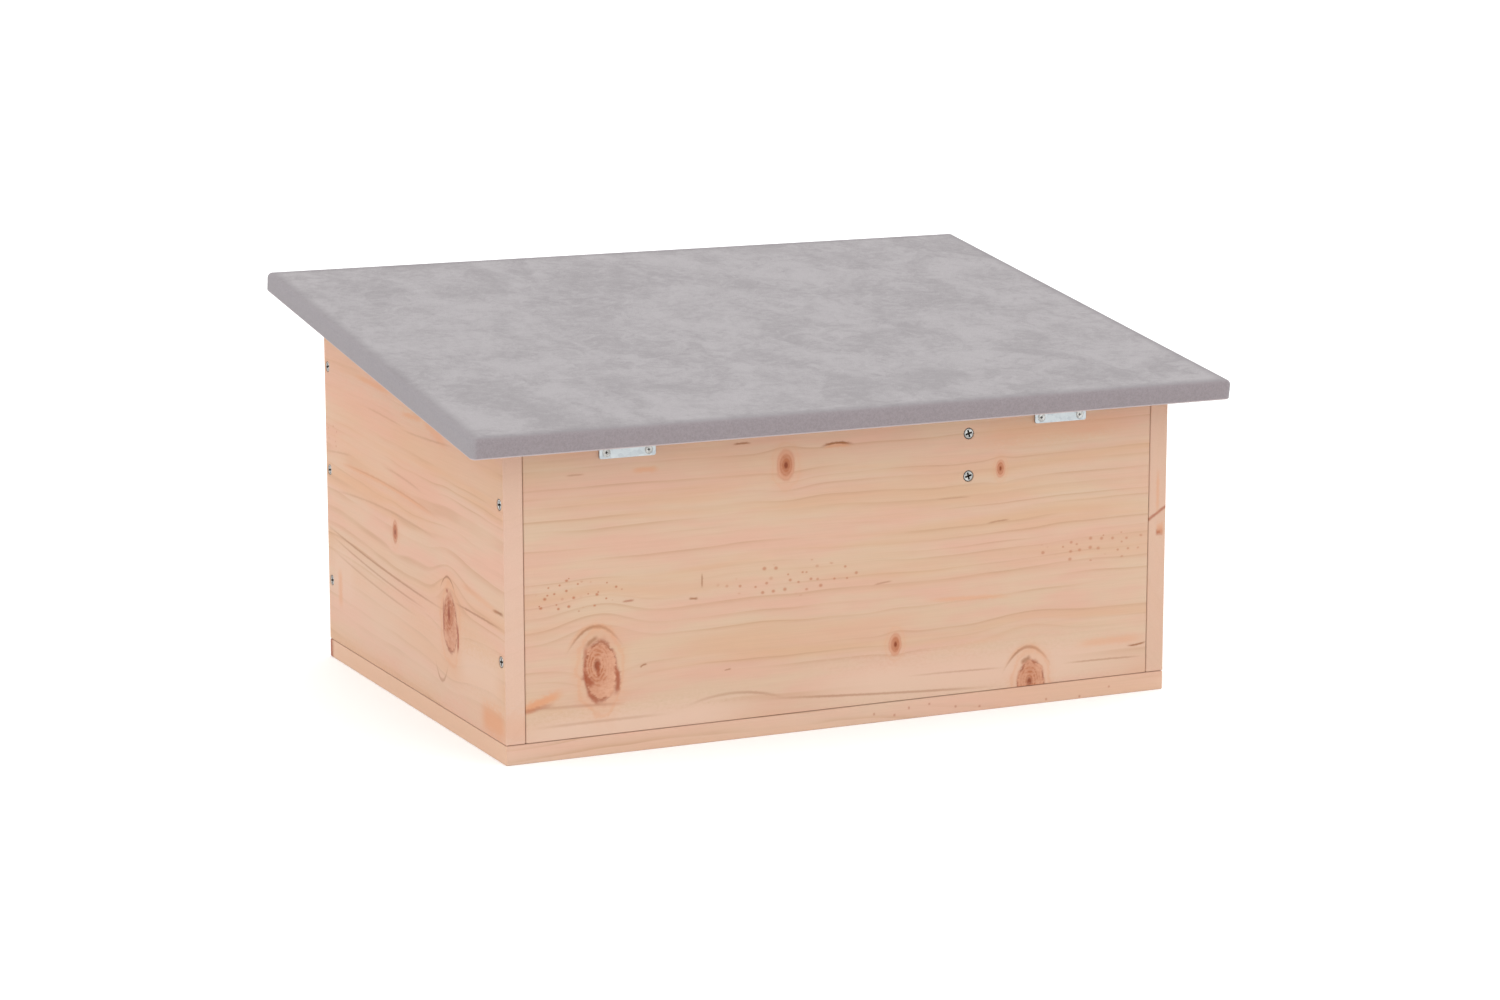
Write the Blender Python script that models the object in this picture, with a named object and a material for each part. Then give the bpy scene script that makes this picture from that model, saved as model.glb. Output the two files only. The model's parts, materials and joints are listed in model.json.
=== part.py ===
"""Hedgehog house: a pine box with a corridor and a nest chamber, under a felt-covered lid on two hinges.

X runs along the house, +Y points to its low, hinged back and +Z up. The origin lies on the ground below the
middle of the roof. Left and right are as seen from the front, where the entrance is near the left end.
"""

import math
from dataclasses import dataclass

import bmesh
import bpy
from mathutils import Euler, Matrix, Vector

MM = 0.001

# Box
BODY_LENGTH = 398 * MM
BODY_DEPTH = 280 * MM
BACK_HEIGHT = 161 * MM
FRONT_HEIGHT = 201.5 * MM
BASE_THICKNESS = 10.5 * MM
WALL_THICKNESS = 11 * MM
JOINT_GAP = 0.3 * MM
ARRIS = 0.4 * MM
CUT_OVERRUN = 2 * MM

# Entrance in the front panel, and the passage through the divider
CORRIDOR_WIDTH = 109.5 * MM
DOOR_HEIGHT = 115 * MM
DOOR_LEG = 16 * MM
DOOR_POST = 7.5 * MM
ARCH_STEPS = 36
PASSAGE_WIDTH = 110 * MM
PASSAGE_HEIGHT = 105 * MM
PASSAGE_CORNER = 30 * MM
CORNER_STEPS = 8

# Roof board and the felt that wraps it
ROOF_THICKNESS = 9 * MM
ROOF_EDGE_RADIUS = 2 * MM
END_OVERHANG = 26 * MM
BACK_OVERHANG = 25 * MM
FRONT_OVERHANG = 25 * MM
FELT_THICKNESS = 0.8 * MM
FELT_GAP = 0.15 * MM
FELT_FLANGE = 14 * MM
FELT_LEAF_CLEARANCE = 1.2 * MM
EDGE_STEPS = 4

# Hinges
HINGE_INSET = 69.5 * MM
HINGE_LENGTH = 32 * MM
LEAF_THICKNESS = 1 * MM
LEAF_WIDTH = 10.6 * MM
LEAF_CORNER = 1.2 * MM
LEAF_HOLE_SPACING = 24 * MM
LEAF_HOLE_MARGIN = 3.2 * MM
LEAF_CORNER_STEPS = 3
KNUCKLES = 5
KNUCKLE_GAP = 0.3 * MM
ROLL_STEPS = 14
ROLL_SEAM = 0.3 * MM
PIN_DIAMETER = 2 * MM
PIN_CLEARANCE = 0.1 * MM
PIN_HEAD_DIAMETER = 3.2 * MM
PIN_HEAD_HEIGHT = 0.6 * MM
PIN_HEAD_STEPS = 3
PIN_SIDES = 14
LEAF_SEAT_GAP = 0.3 * MM

# Wood screws
WOOD_SCREW_HEAD = 6.2 * MM
WOOD_SCREW_SHANK = 3 * MM
WOOD_SCREW_LENGTH = 25 * MM
WOOD_SCREW_TIP = 4 * MM
WOOD_SCREW_RECESS_SPAN = 3.6 * MM
WOOD_SCREW_RECESS_WIDTH = 0.9 * MM
WOOD_SCREW_RECESS_DEPTH = 1.1 * MM
WOOD_SCREW_SINK = 0.2 * MM

# Hinge screws
HINGE_SCREW_HEAD = 4.6 * MM
HINGE_SCREW_SHANK = 2.4 * MM
HINGE_SCREW_LENGTH = 8 * MM
HINGE_SCREW_TIP = 2 * MM
HINGE_SCREW_RECESS_SPAN = 2.8 * MM
HINGE_SCREW_RECESS_WIDTH = 0.7 * MM
HINGE_SCREW_RECESS_DEPTH = 0.8 * MM

# Screws of both kinds
SCREW_CLEARANCE = 0.2 * MM
SCREW_SIDES = 12
SCREW_TURN = math.radians(37)
RECESS_FLOOR_SHARE = 0.45

# Places of the screws, each measured from the edge that it is set out from
SIDE_FRONT_SCREW_SHARES = (0, 0.52, 1)
SIDE_FRONT_SCREW_FOOT = 36 * MM
SIDE_FRONT_SCREW_HEAD = 39.5 * MM
SIDE_BACK_SCREW_SHARES = (0, 1)
SIDE_BACK_SCREW_FOOT = 44 * MM
SIDE_BACK_SCREW_HEAD = 33.8 * MM
DIVIDER_BACK_SCREWS = 2
DIVIDER_BACK_SCREW_HEAD = 15.8 * MM
DIVIDER_BACK_SCREW_PITCH = 23.5 * MM
DIVIDER_FRONT_SCREWS = 2
DIVIDER_FRONT_SCREW_FOOT = 40 * MM
DIVIDER_FRONT_SCREW_HEAD = 45 * MM
BASE_END_SCREWS = 2
BASE_END_SCREW_INSET = 60 * MM
BASE_BACK_SCREWS = 3
BASE_BACK_SCREW_INSET = 45 * MM
BASE_FRONT_SCREWS = 3
BASE_FRONT_SCREW_INSET = 30 * MM

# Meshes
WELD_DISTANCE = 0.001 * MM
SMOOTH_ANGLE = math.radians(35)

# Heights and planes that follow
BASE_TOP = BASE_THICKNESS
WALL_FOOT = BASE_TOP + JOINT_GAP
HALF_LENGTH = BODY_LENGTH / 2
HALF_DEPTH = BODY_DEPTH / 2
INNER_HALF_LENGTH = HALF_LENGTH - WALL_THICKNESS
INNER_HALF_DEPTH = HALF_DEPTH - WALL_THICKNESS
SLOPE = math.atan2(FRONT_HEIGHT - BACK_HEIGHT, BODY_DEPTH)
DIVIDER_LEFT = -INNER_HALF_LENGTH + CORRIDOR_WIDTH
DIVIDER_MIDDLE = DIVIDER_LEFT + WALL_THICKNESS / 2
DOOR_LEFT = -INNER_HALF_LENGTH + DOOR_LEG
DOOR_WIDTH = CORRIDOR_WIDTH - DOOR_LEG - DOOR_POST
DOOR_MIDDLE = DOOR_LEFT + DOOR_WIDTH / 2

# Hinge sizes that follow
KNUCKLE_BORE_RADIUS = PIN_DIAMETER / 2 + PIN_CLEARANCE
KNUCKLE_RADIUS = KNUCKLE_BORE_RADIUS + LEAF_THICKNESS
AXIS_OFFSET = KNUCKLE_RADIUS + LEAF_SEAT_GAP
LEAF_HOLE_REACH = LEAF_WIDTH - LEAF_HOLE_MARGIN


def wall_top(y):
    """Height of the sloping plane that the walls end in, at a distance y behind the middle."""
    return BASE_TOP + BACK_HEIGHT + (HALF_DEPTH - y) * math.tan(SLOPE)


AXIS_Y = HALF_DEPTH + AXIS_OFFSET
AXIS_Z = wall_top(AXIS_Y) + (JOINT_GAP - AXIS_OFFSET) / math.cos(SLOPE)

# Roof heights above the hinge axis, square to the roof
ROOF_UNDERSIDE = AXIS_OFFSET
ROOF_TOP = ROOF_UNDERSIDE + ROOF_THICKNESS
FELT_SET_OUT = FELT_GAP + FELT_THICKNESS
FELT_EDGE_RADIUS = ROOF_EDGE_RADIUS + FELT_SET_OUT


@dataclass(frozen=True)
class Finish:
    """Colour and gloss of one kind of piece."""

    name: str
    colour: tuple
    roughness: float
    metallic: float = 0.0


@dataclass(frozen=True)
class Screw:
    """Sizes of a countersunk screw with a cross recess."""

    head: float
    shank: float
    length: float
    tip: float
    recess_span: float
    recess_width: float
    recess_depth: float


@dataclass(frozen=True)
class Place:
    """Where a screw goes in: its name, the point on the surface, and the way that it points."""

    name: str
    point: tuple
    inward: tuple
    sink: float


PINE = Finish("pine", (0.74, 0.47, 0.31, 1), 0.6)
ROOF_PINE = Finish("roof_pine", (0.70, 0.45, 0.30, 1), 0.65)
FELT = Finish("mineral_felt", (0.41, 0.38, 0.39, 1), 0.92)
ZINC = Finish("zinc", (0.60, 0.62, 0.64, 1), 0.35, 1.0)
SCREW_STEEL = Finish("screw_steel", (0.48, 0.48, 0.47, 1), 0.3, 1.0)

WOOD_SCREW = Screw(
    WOOD_SCREW_HEAD,
    WOOD_SCREW_SHANK,
    WOOD_SCREW_LENGTH,
    WOOD_SCREW_TIP,
    WOOD_SCREW_RECESS_SPAN,
    WOOD_SCREW_RECESS_WIDTH,
    WOOD_SCREW_RECESS_DEPTH,
)
HINGE_SCREW = Screw(
    HINGE_SCREW_HEAD,
    HINGE_SCREW_SHANK,
    HINGE_SCREW_LENGTH,
    HINGE_SCREW_TIP,
    HINGE_SCREW_RECESS_SPAN,
    HINGE_SCREW_RECESS_WIDTH,
    HINGE_SCREW_RECESS_DEPTH,
)

# Outlines are drawn in the house's YZ plane and pushed along X, or in its XZ plane and pushed along -Y
DRAWN_ON_YZ = Euler((math.pi / 2, 0, math.pi / 2))
DRAWN_ON_XZ = Euler((math.pi / 2, 0, 0))
LEAF_ON_WALL = Euler((-math.pi / 2, 0, math.pi))


def clear_scene():
    """Removes whatever the scene holds at the start."""
    for thing in list(bpy.data.objects):
        bpy.data.objects.remove(thing, do_unlink=True)


def material_of(finish):
    """The finish's material, made on its first use."""
    found = bpy.data.materials.get(finish.name)
    if found:
        return found
    material = bpy.data.materials.new(finish.name)
    material.use_nodes = True
    shader = material.node_tree.nodes["Principled BSDF"]
    shader.inputs["Base Color"].default_value = finish.colour
    shader.inputs["Roughness"].default_value = finish.roughness
    shader.inputs["Metallic"].default_value = finish.metallic
    return material


def add_empty(name, location, rotation=(0, 0, 0)):
    """An empty that carries the pieces of one body."""
    empty = bpy.data.objects.new(name, None)
    empty.location = location
    empty.rotation_euler = rotation
    bpy.context.scene.collection.objects.link(empty)
    return empty


def add_piece(name, mesh, finish, parent, location=(0, 0, 0), rotation=(0, 0, 0)):
    """One sub-part: a mesh with its finish, placed on its carrier."""
    if not mesh.materials:
        mesh.materials.append(material_of(finish))
    piece = bpy.data.objects.new(name, mesh)
    piece.parent = parent
    piece.location = location
    piece.rotation_euler = rotation
    bpy.context.scene.collection.objects.link(piece)
    return piece


def add_cutter(name, mesh, parent, location=(0, 0, 0), rotation=(0, 0, 0)):
    """A helper that only cuts others, and shows as wire."""
    cutter = bpy.data.objects.new(name, mesh)
    cutter.parent = parent
    cutter.location = location
    cutter.rotation_euler = rotation
    cutter.hide_render = True
    cutter.display_type = "WIRE"
    bpy.context.scene.collection.objects.link(cutter)
    return cutter


def cut(piece, cutter):
    """Takes the cutter's shape out of the piece."""
    modifier = piece.modifiers.new(cutter.name, "BOOLEAN")
    modifier.operation = "DIFFERENCE"
    modifier.solver = "EXACT"
    modifier.object = cutter


def ease_edges(piece):
    """Breaks the sharp edges of a sawn board."""
    modifier = piece.modifiers.new("arris", "BEVEL")
    modifier.width = ARRIS
    modifier.segments = 1
    modifier.limit_method = "ANGLE"


def finished_mesh(shape, name, smooth=False):
    """Turns a bmesh into a mesh whose faces point outwards."""
    bmesh.ops.remove_doubles(shape, verts=shape.verts, dist=WELD_DISTANCE)
    bmesh.ops.recalc_face_normals(shape, faces=shape.faces)
    mesh = bpy.data.meshes.new(name)
    shape.to_mesh(mesh)
    shape.free()
    if smooth:
        mesh.shade_smooth()
        mesh.set_sharp_from_angle(angle=SMOOTH_ANGLE)
    return mesh


def add_prism(shape, outline, depth):
    """Adds an outline of (x, y) points, pushed up by depth."""
    corners = [shape.verts.new((x, y, 0)) for x, y in outline]
    floor = shape.faces.new(corners)
    pushed = bmesh.ops.extrude_face_region(shape, geom=[floor])["geom"]
    raised = [item for item in pushed if isinstance(item, bmesh.types.BMVert)]
    bmesh.ops.translate(shape, verts=raised, vec=(0, 0, depth))


def prism_mesh(name, outline, depth):
    """A board or a cutter: one outline pushed up by depth."""
    shape = bmesh.new()
    add_prism(shape, outline, depth)
    return finished_mesh(shape, name)


def turned_mesh(name, profile, sides, smooth=True):
    """A profile of (radius, height) points, listed from the top down, turned about Z."""
    shape = bmesh.new()
    points = [shape.verts.new((radius, 0, height)) for radius, height in profile]
    lines = [shape.edges.new(pair) for pair in zip(points, points[1:])]
    bmesh.ops.spin(
        shape,
        geom=points + lines,
        cent=(0, 0, 0),
        axis=(0, 0, 1),
        angle=math.tau,
        steps=sides,
        use_merge=True,
    )
    return finished_mesh(shape, name, smooth)


def arc(centre, radius, start, end, steps):
    """Points along an arc, both ends included. Angles are in radians from the first axis."""
    turns = [start + (end - start) * step / steps for step in range(steps + 1)]
    return [(centre[0] + radius * math.cos(t), centre[1] + radius * math.sin(t)) for t in turns]


def spread(first, last, count):
    """Evenly spaced values from first to last."""
    if count == 1:
        return [(first + last) / 2]
    return [first + (last - first) * step / (count - 1) for step in range(count)]


def rounded_slab_mesh(name, low, high, radius):
    """A slab between two corners, rounded along all its edges."""
    shape = bmesh.new()
    size = Vector(high) - Vector(low)
    middle = (Vector(high) + Vector(low)) / 2
    bmesh.ops.create_cube(shape, size=1, matrix=Matrix.Translation(middle) @ Matrix.Diagonal(size).to_4x4())
    bmesh.ops.bevel(
        shape,
        geom=shape.edges[:],
        offset=radius,
        offset_type="OFFSET",
        segments=EDGE_STEPS,
        profile=0.5,
        affect="EDGES",
        clamp_overlap=True,
    )
    return finished_mesh(shape, name, smooth=True)


def wall_outline(front, back):
    """Outline of a wall in (y, z) between two distances, its top cut to the roof's slope."""
    return [(front, WALL_FOOT), (back, WALL_FOOT), (back, wall_top(back)), (front, wall_top(front))]


def divider_outline():
    """The divider's outline in (y, z), with the passage in its lower back corner."""
    front = -INNER_HALF_DEPTH + JOINT_GAP
    back = INNER_HALF_DEPTH - JOINT_GAP
    foot_end = INNER_HALF_DEPTH - PASSAGE_WIDTH
    lintel = BASE_TOP + PASSAGE_HEIGHT
    corner = (foot_end + PASSAGE_CORNER, lintel - PASSAGE_CORNER)
    return (
        [(front, WALL_FOOT), (foot_end, WALL_FOOT)]
        + arc(corner, PASSAGE_CORNER, math.pi, math.pi / 2, CORNER_STEPS)
        + [(back, lintel), (back, wall_top(back)), (front, wall_top(front))]
    )


def door_outline():
    """The entrance's outline in (x, z), open at the foot and round at the top."""
    radius = DOOR_WIDTH / 2
    spring = BASE_TOP + DOOR_HEIGHT - radius
    sill = BASE_TOP - CUT_OVERRUN
    left, right = DOOR_MIDDLE - radius, DOOR_MIDDLE + radius
    return [(left, sill), (right, sill)] + arc((DOOR_MIDDLE, spring), radius, 0, math.pi, ARCH_STEPS)


def add_board(name, outline, left, right, parent):
    """A board whose (y, z) outline runs from one x to another."""
    mesh = prism_mesh(name, outline, right - left)
    return add_piece(name, mesh, PINE, parent, (left, 0, 0), DRAWN_ON_YZ)


def add_box(house):
    """The base, four walls and the divider. Returns them by name."""
    half = HALF_LENGTH
    inner = INNER_HALF_LENGTH - JOINT_GAP
    base = [(-HALF_DEPTH, 0), (HALF_DEPTH, 0), (HALF_DEPTH, BASE_TOP), (-HALF_DEPTH, BASE_TOP)]
    side = wall_outline(-HALF_DEPTH, HALF_DEPTH)
    back = wall_outline(INNER_HALF_DEPTH, HALF_DEPTH)
    front = wall_outline(-HALF_DEPTH, -INNER_HALF_DEPTH)
    plan = {
        "base_board": (base, -half, half),
        "side_panel_left": (side, -half, -INNER_HALF_LENGTH),
        "side_panel_right": (side, INNER_HALF_LENGTH, half),
        "back_panel": (back, -inner, inner),
        "front_panel": (front, -inner, inner),
        "divider_panel": (divider_outline(), DIVIDER_LEFT, DIVIDER_LEFT + WALL_THICKNESS),
    }
    boards = {name: add_board(name, *drawn, house) for name, drawn in plan.items()}
    door = prism_mesh("door_cutter", door_outline(), WALL_THICKNESS + 2 * CUT_OVERRUN)
    start = (0, -INNER_HALF_DEPTH + CUT_OVERRUN, 0)
    cut(boards["front_panel"], add_cutter("door_cutter", door, house, start, DRAWN_ON_XZ))
    for board in boards.values():
        ease_edges(board)
    return boards


def roof_reach():
    """Front and back ends of the covered roof along its slope, from the hinge axis.

    The overhangs are level distances from the walls to the roof's outermost points, which lie on its rounded
    upper back edge and its rounded lower front edge.
    """
    rise, run = math.sin(SLOPE), math.cos(SLOPE)
    upper = ROOF_TOP + FELT_SET_OUT - FELT_EDGE_RADIUS
    lower = ROOF_UNDERSIDE - FELT_SET_OUT + FELT_EDGE_RADIUS
    back = (HALF_DEPTH + BACK_OVERHANG - FELT_EDGE_RADIUS - AXIS_Y - upper * rise) / run + FELT_EDGE_RADIUS
    front = (-HALF_DEPTH - FRONT_OVERHANG + FELT_EDGE_RADIUS - AXIS_Y - lower * rise) / run - FELT_EDGE_RADIUS
    return front, back


def add_roof(lid):
    """The roof board, and the felt that is folded round its edges and under them."""
    front, back = roof_reach()
    end = HALF_LENGTH + END_OVERHANG

    def slab(name, inset, radius):
        low = (-end + inset, front + inset, ROOF_UNDERSIDE - FELT_SET_OUT + inset)
        high = (end - inset, back - inset, ROOF_TOP + FELT_SET_OUT - inset)
        return rounded_slab_mesh(name, low, high, radius)

    board = add_piece("roof_board", slab("roof_board", FELT_SET_OUT, ROOF_EDGE_RADIUS), ROOF_PINE, lid)
    felt = add_piece("roof_felt", slab("roof_felt", 0, FELT_EDGE_RADIUS), FELT, lid)
    hollow = slab("felt_hollow", FELT_THICKNESS, ROOF_EDGE_RADIUS + FELT_GAP)
    cut(felt, add_cutter("felt_hollow", hollow, lid))
    window_end = end - FELT_FLANGE
    window_front = front + FELT_FLANGE
    window_back = LEAF_WIDTH + FELT_LEAF_CLEARANCE
    window = [
        (-window_end, window_front),
        (window_end, window_front),
        (window_end, window_back),
        (-window_end, window_back),
    ]
    window_mesh = prism_mesh("felt_window", window, CUT_OVERRUN + FELT_SET_OUT)
    start = (0, 0, ROOF_UNDERSIDE - FELT_SET_OUT - CUT_OVERRUN / 2)
    cut(felt, add_cutter("felt_window", window_mesh, lid, start))
    return board


def knuckle_spans():
    """Start and end of each knuckle along the hinge."""
    width = (HINGE_LENGTH - (KNUCKLES - 1) * KNUCKLE_GAP) / KNUCKLES
    starts = [-HINGE_LENGTH / 2 + number * (width + KNUCKLE_GAP) for number in range(KNUCKLES)]
    return [(start, start + width) for start in starts]


def leaf_mesh(name, first_knuckle):
    """A hinge leaf: a flat plate along +Y, its tabs rolled round the pin, which lies on X.

    The plate's upper face is level with the top of the knuckles, so that it seats on what it is screwed to.
    """
    half = HINGE_LENGTH / 2
    root = KNUCKLE_RADIUS + KNUCKLE_GAP
    outline = []
    for start, end in knuckle_spans()[first_knuckle::2]:
        outline += [(start, root), (start, 0), (end, 0), (end, root)]
    if first_knuckle == 0:
        outline = outline[1:-1]
    else:
        outline = [(-half, root)] + outline + [(half, root)]
    centre = half - LEAF_CORNER
    outline += arc((centre, LEAF_WIDTH - LEAF_CORNER), LEAF_CORNER, 0, math.pi / 2, LEAF_CORNER_STEPS)
    outline += arc((-centre, LEAF_WIDTH - LEAF_CORNER), LEAF_CORNER, math.pi / 2, math.pi, LEAF_CORNER_STEPS)
    shape = bmesh.new()
    add_prism(shape, outline, LEAF_THICKNESS)
    bmesh.ops.translate(shape, verts=shape.verts, vec=(0, 0, KNUCKLE_BORE_RADIUS))
    seam_height = KNUCKLE_BORE_RADIUS - ROLL_SEAM
    roll = 1.5 * math.pi + math.asin(seam_height / KNUCKLE_RADIUS)
    tabs = [face for face in shape.faces if max(abs(v.co.y) for v in face.verts) < WELD_DISTANCE]
    bmesh.ops.spin(
        shape,
        geom=tabs,
        cent=(0, 0, 0),
        axis=(1, 0, 0),
        angle=roll,
        steps=ROLL_STEPS,
    )
    bmesh.ops.delete(shape, geom=tabs, context="FACES_ONLY")
    return finished_mesh(shape, name, smooth=True)


def pin_mesh():
    """The hinge pin along Z, with a peened dome at each end."""
    radius = PIN_DIAMETER / 2
    seat = HINGE_LENGTH / 2 + PIN_CLEARANCE
    quarter = [math.pi / 2 * step / PIN_HEAD_STEPS for step in range(PIN_HEAD_STEPS + 1)]
    dome = [(PIN_HEAD_DIAMETER / 2 * math.sin(t), seat + PIN_HEAD_HEIGHT * math.cos(t)) for t in quarter]
    upper = dome + [(radius, seat)]
    lower = [(r, -height) for r, height in reversed(upper)]
    return turned_mesh("hinge_pin", upper + lower, PIN_SIDES)


def screw_profile(screw):
    """The screw's outline in (radius, height), its head's top at zero and its tip below."""
    head, shank = screw.head / 2, screw.shank / 2
    return [
        (0, 0),
        (head, 0),
        (shank, shank - head),
        (shank, screw.tip - screw.length),
        (0, -screw.length),
    ]


def hole_profile(screw):
    """The outline of the hole that the screw fits in, clear of it all round and open above its head."""
    head, shank = screw.head / 2, screw.shank / 2
    rim = head + SCREW_CLEARANCE * math.sqrt(2)
    bore = shank + SCREW_CLEARANCE
    return [
        (0, CUT_OVERRUN),
        (rim, CUT_OVERRUN),
        (rim, 0),
        (bore, bore - rim),
        (bore, screw.tip - screw.length),
        (0, -screw.length - SCREW_CLEARANCE * screw.tip / shank),
    ]


def recess_mesh(name, screw):
    """A cross that narrows downwards, to be cut into the screw's head."""
    arm, half = screw.recess_span / 2, screw.recess_width / 2
    quarter = [(arm, -half), (arm, half), (half, half)]
    cross = []
    for turn in range(4):
        spin = Matrix.Rotation(turn * math.pi / 2, 2)
        cross += [spin @ Vector(point) for point in quarter]
    shape = bmesh.new()
    add_prism(shape, cross, 2 * screw.recess_depth)
    bmesh.ops.translate(shape, verts=shape.verts, vec=(0, 0, -screw.recess_depth))
    floor = [vert for vert in shape.verts if vert.co.z < 0]
    bmesh.ops.scale(shape, verts=floor, vec=(RECESS_FLOOR_SHARE, RECESS_FLOOR_SHARE, 1))
    return finished_mesh(shape, name)


def joined_mesh(name, mesh, matrices):
    """Copies of a mesh, one at each matrix."""
    shape = bmesh.new()
    for matrix in matrices:
        done = len(shape.verts)
        shape.from_mesh(mesh)
        shape.verts.ensure_lookup_table()
        bmesh.ops.transform(shape, matrix=matrix, verts=shape.verts[done:])
    return finished_mesh(shape, name)


def screw_matrix(place, number):
    """Puts a screw's head at its place. Each screw stops at its own angle."""
    inward = Vector(place.inward)
    aim = (-inward).to_track_quat("Z", "Y").to_matrix().to_4x4()
    where = Matrix.Translation(Vector(place.point) + inward * place.sink)
    return where @ aim @ Matrix.Rotation(SCREW_TURN * number, 4, "Z")


def add_screws(kind, screw, places, parent, targets):
    """Adds a screw at each place, and its hole in every target that it passes through."""
    body = turned_mesh(f"{kind}_screw", screw_profile(screw), SCREW_SIDES)
    recess = recess_mesh(f"{kind}_recess", screw)
    hole = turned_mesh(f"{kind}_hole", hole_profile(screw), SCREW_SIDES, smooth=False)
    matrices = [screw_matrix(place, number) for number, place in enumerate(places)]
    recesses = add_cutter(f"{kind}_recesses", joined_mesh(f"{kind}_recesses", recess, matrices), parent)
    holes = add_cutter(f"{kind}_holes", joined_mesh(f"{kind}_holes", hole, matrices), parent)
    for place, matrix in zip(places, matrices):
        turn = matrix.to_euler()
        cut(add_piece(place.name, body, SCREW_STEEL, parent, matrix.to_translation(), turn), recesses)
    for target in targets:
        cut(target, holes)


def side_places():
    """Screws through the side panels into the ends of the front and back panels."""
    rows = [
        ("front", -1, SIDE_FRONT_SCREW_FOOT, FRONT_HEIGHT - SIDE_FRONT_SCREW_HEAD, SIDE_FRONT_SCREW_SHARES),
        ("back", 1, SIDE_BACK_SCREW_FOOT, BACK_HEIGHT - SIDE_BACK_SCREW_HEAD, SIDE_BACK_SCREW_SHARES),
    ]
    places = []
    for side, way in (("left", -1), ("right", 1)):
        for end, depth_way, low, high, shares in rows:
            y = depth_way * (HALF_DEPTH - WALL_THICKNESS / 2)
            for number, share in enumerate(shares, 1):
                name = f"side_{side}_{end}_screw_{number}"
                point = (way * HALF_LENGTH, y, BASE_TOP + low + share * (high - low))
                places.append(Place(name, point, (-way, 0, 0), WOOD_SCREW_SINK))
    return places


def divider_places():
    """Screws through the front and back panels into the ends of the divider."""
    top = BACK_HEIGHT - DIVIDER_BACK_SCREW_HEAD
    lowest = top - (DIVIDER_BACK_SCREWS - 1) * DIVIDER_BACK_SCREW_PITCH
    highest = FRONT_HEIGHT - DIVIDER_FRONT_SCREW_HEAD
    rows = [
        ("front", -1, spread(DIVIDER_FRONT_SCREW_FOOT, highest, DIVIDER_FRONT_SCREWS)),
        ("back", 1, spread(lowest, top, DIVIDER_BACK_SCREWS)),
    ]
    places = []
    for end, way, heights in rows:
        for number, z in enumerate(heights, 1):
            point = (DIVIDER_MIDDLE, way * HALF_DEPTH, BASE_TOP + z)
            places.append(Place(f"divider_{end}_screw_{number}", point, (0, -way, 0), WOOD_SCREW_SINK))
    return places


def numbered(side, values):
    """Pairs a screw's name with each value."""
    return [(f"{side}_screw_{number}", value) for number, value in enumerate(values, 1)]


def base_places():
    """Screws up through the base board into the walls and the divider."""
    end_middle = HALF_LENGTH - WALL_THICKNESS / 2
    wall_middle = HALF_DEPTH - WALL_THICKNESS / 2
    end_reach = HALF_DEPTH - BASE_END_SCREW_INSET
    back_reach = INNER_HALF_LENGTH - BASE_BACK_SCREW_INSET
    front_start = DOOR_LEFT + DOOR_WIDTH + BASE_FRONT_SCREW_INSET
    front_end = INNER_HALF_LENGTH - BASE_FRONT_SCREW_INSET
    divider_foot_end = INNER_HALF_DEPTH - PASSAGE_WIDTH
    along_end = spread(-end_reach, end_reach, BASE_END_SCREWS)
    along_back = spread(-back_reach, back_reach, BASE_BACK_SCREWS)
    along_front = spread(front_start, front_end, BASE_FRONT_SCREWS)
    spots = [(name, -end_middle, y) for name, y in numbered("left", along_end)]
    spots += [(name, end_middle, y) for name, y in numbered("right", along_end)]
    spots += [(name, x, wall_middle) for name, x in numbered("back", along_back)]
    spots += [(name, x, -wall_middle) for name, x in numbered("front", along_front)]
    spots.append(("divider_screw", DIVIDER_MIDDLE, (divider_foot_end - INNER_HALF_DEPTH) / 2))
    return [Place(f"base_{name}", (x, y, 0), (0, 0, 1), WOOD_SCREW_SINK) for name, x, y in spots]


def add_hinges(house, lid, back_panel, roof_board):
    """Two butt hinges outside the back panel: one leaf hangs on the wall, the other lies under the overhang."""
    wall_leaf = leaf_mesh("wall_leaf", 0)
    roof_leaf = leaf_mesh("roof_leaf", 1)
    pin = pin_mesh()
    wall_leaves, roof_leaves, wall_places, roof_places = [], [], [], []
    for side, way in (("left", -1), ("right", 1)):
        x = way * (HALF_LENGTH - HINGE_INSET)
        axis = (x, AXIS_Y, AXIS_Z)
        wall_leaves.append(add_piece(f"hinge_{side}_wall_leaf", wall_leaf, ZINC, house, axis, LEAF_ON_WALL))
        roof_leaves.append(add_piece(f"hinge_{side}_roof_leaf", roof_leaf, ZINC, lid, (x, 0, 0)))
        add_piece(f"hinge_{side}_pin", pin, ZINC, house, axis, (0, math.pi / 2, 0))
        for number, shift in enumerate((-LEAF_HOLE_SPACING / 2, LEAF_HOLE_SPACING / 2), 1):
            on_wall = (x + shift, AXIS_Y - KNUCKLE_BORE_RADIUS, AXIS_Z - LEAF_HOLE_REACH)
            on_roof = (x + shift, LEAF_HOLE_REACH, KNUCKLE_BORE_RADIUS)
            wall_places.append(Place(f"hinge_{side}_wall_screw_{number}", on_wall, (0, -1, 0), 0))
            roof_places.append(Place(f"hinge_{side}_roof_screw_{number}", on_roof, (0, 0, 1), 0))
    add_screws("wall_hinge", HINGE_SCREW, wall_places, house, wall_leaves + [back_panel])
    add_screws("roof_hinge", HINGE_SCREW, roof_places, lid, roof_leaves + [roof_board])


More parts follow.
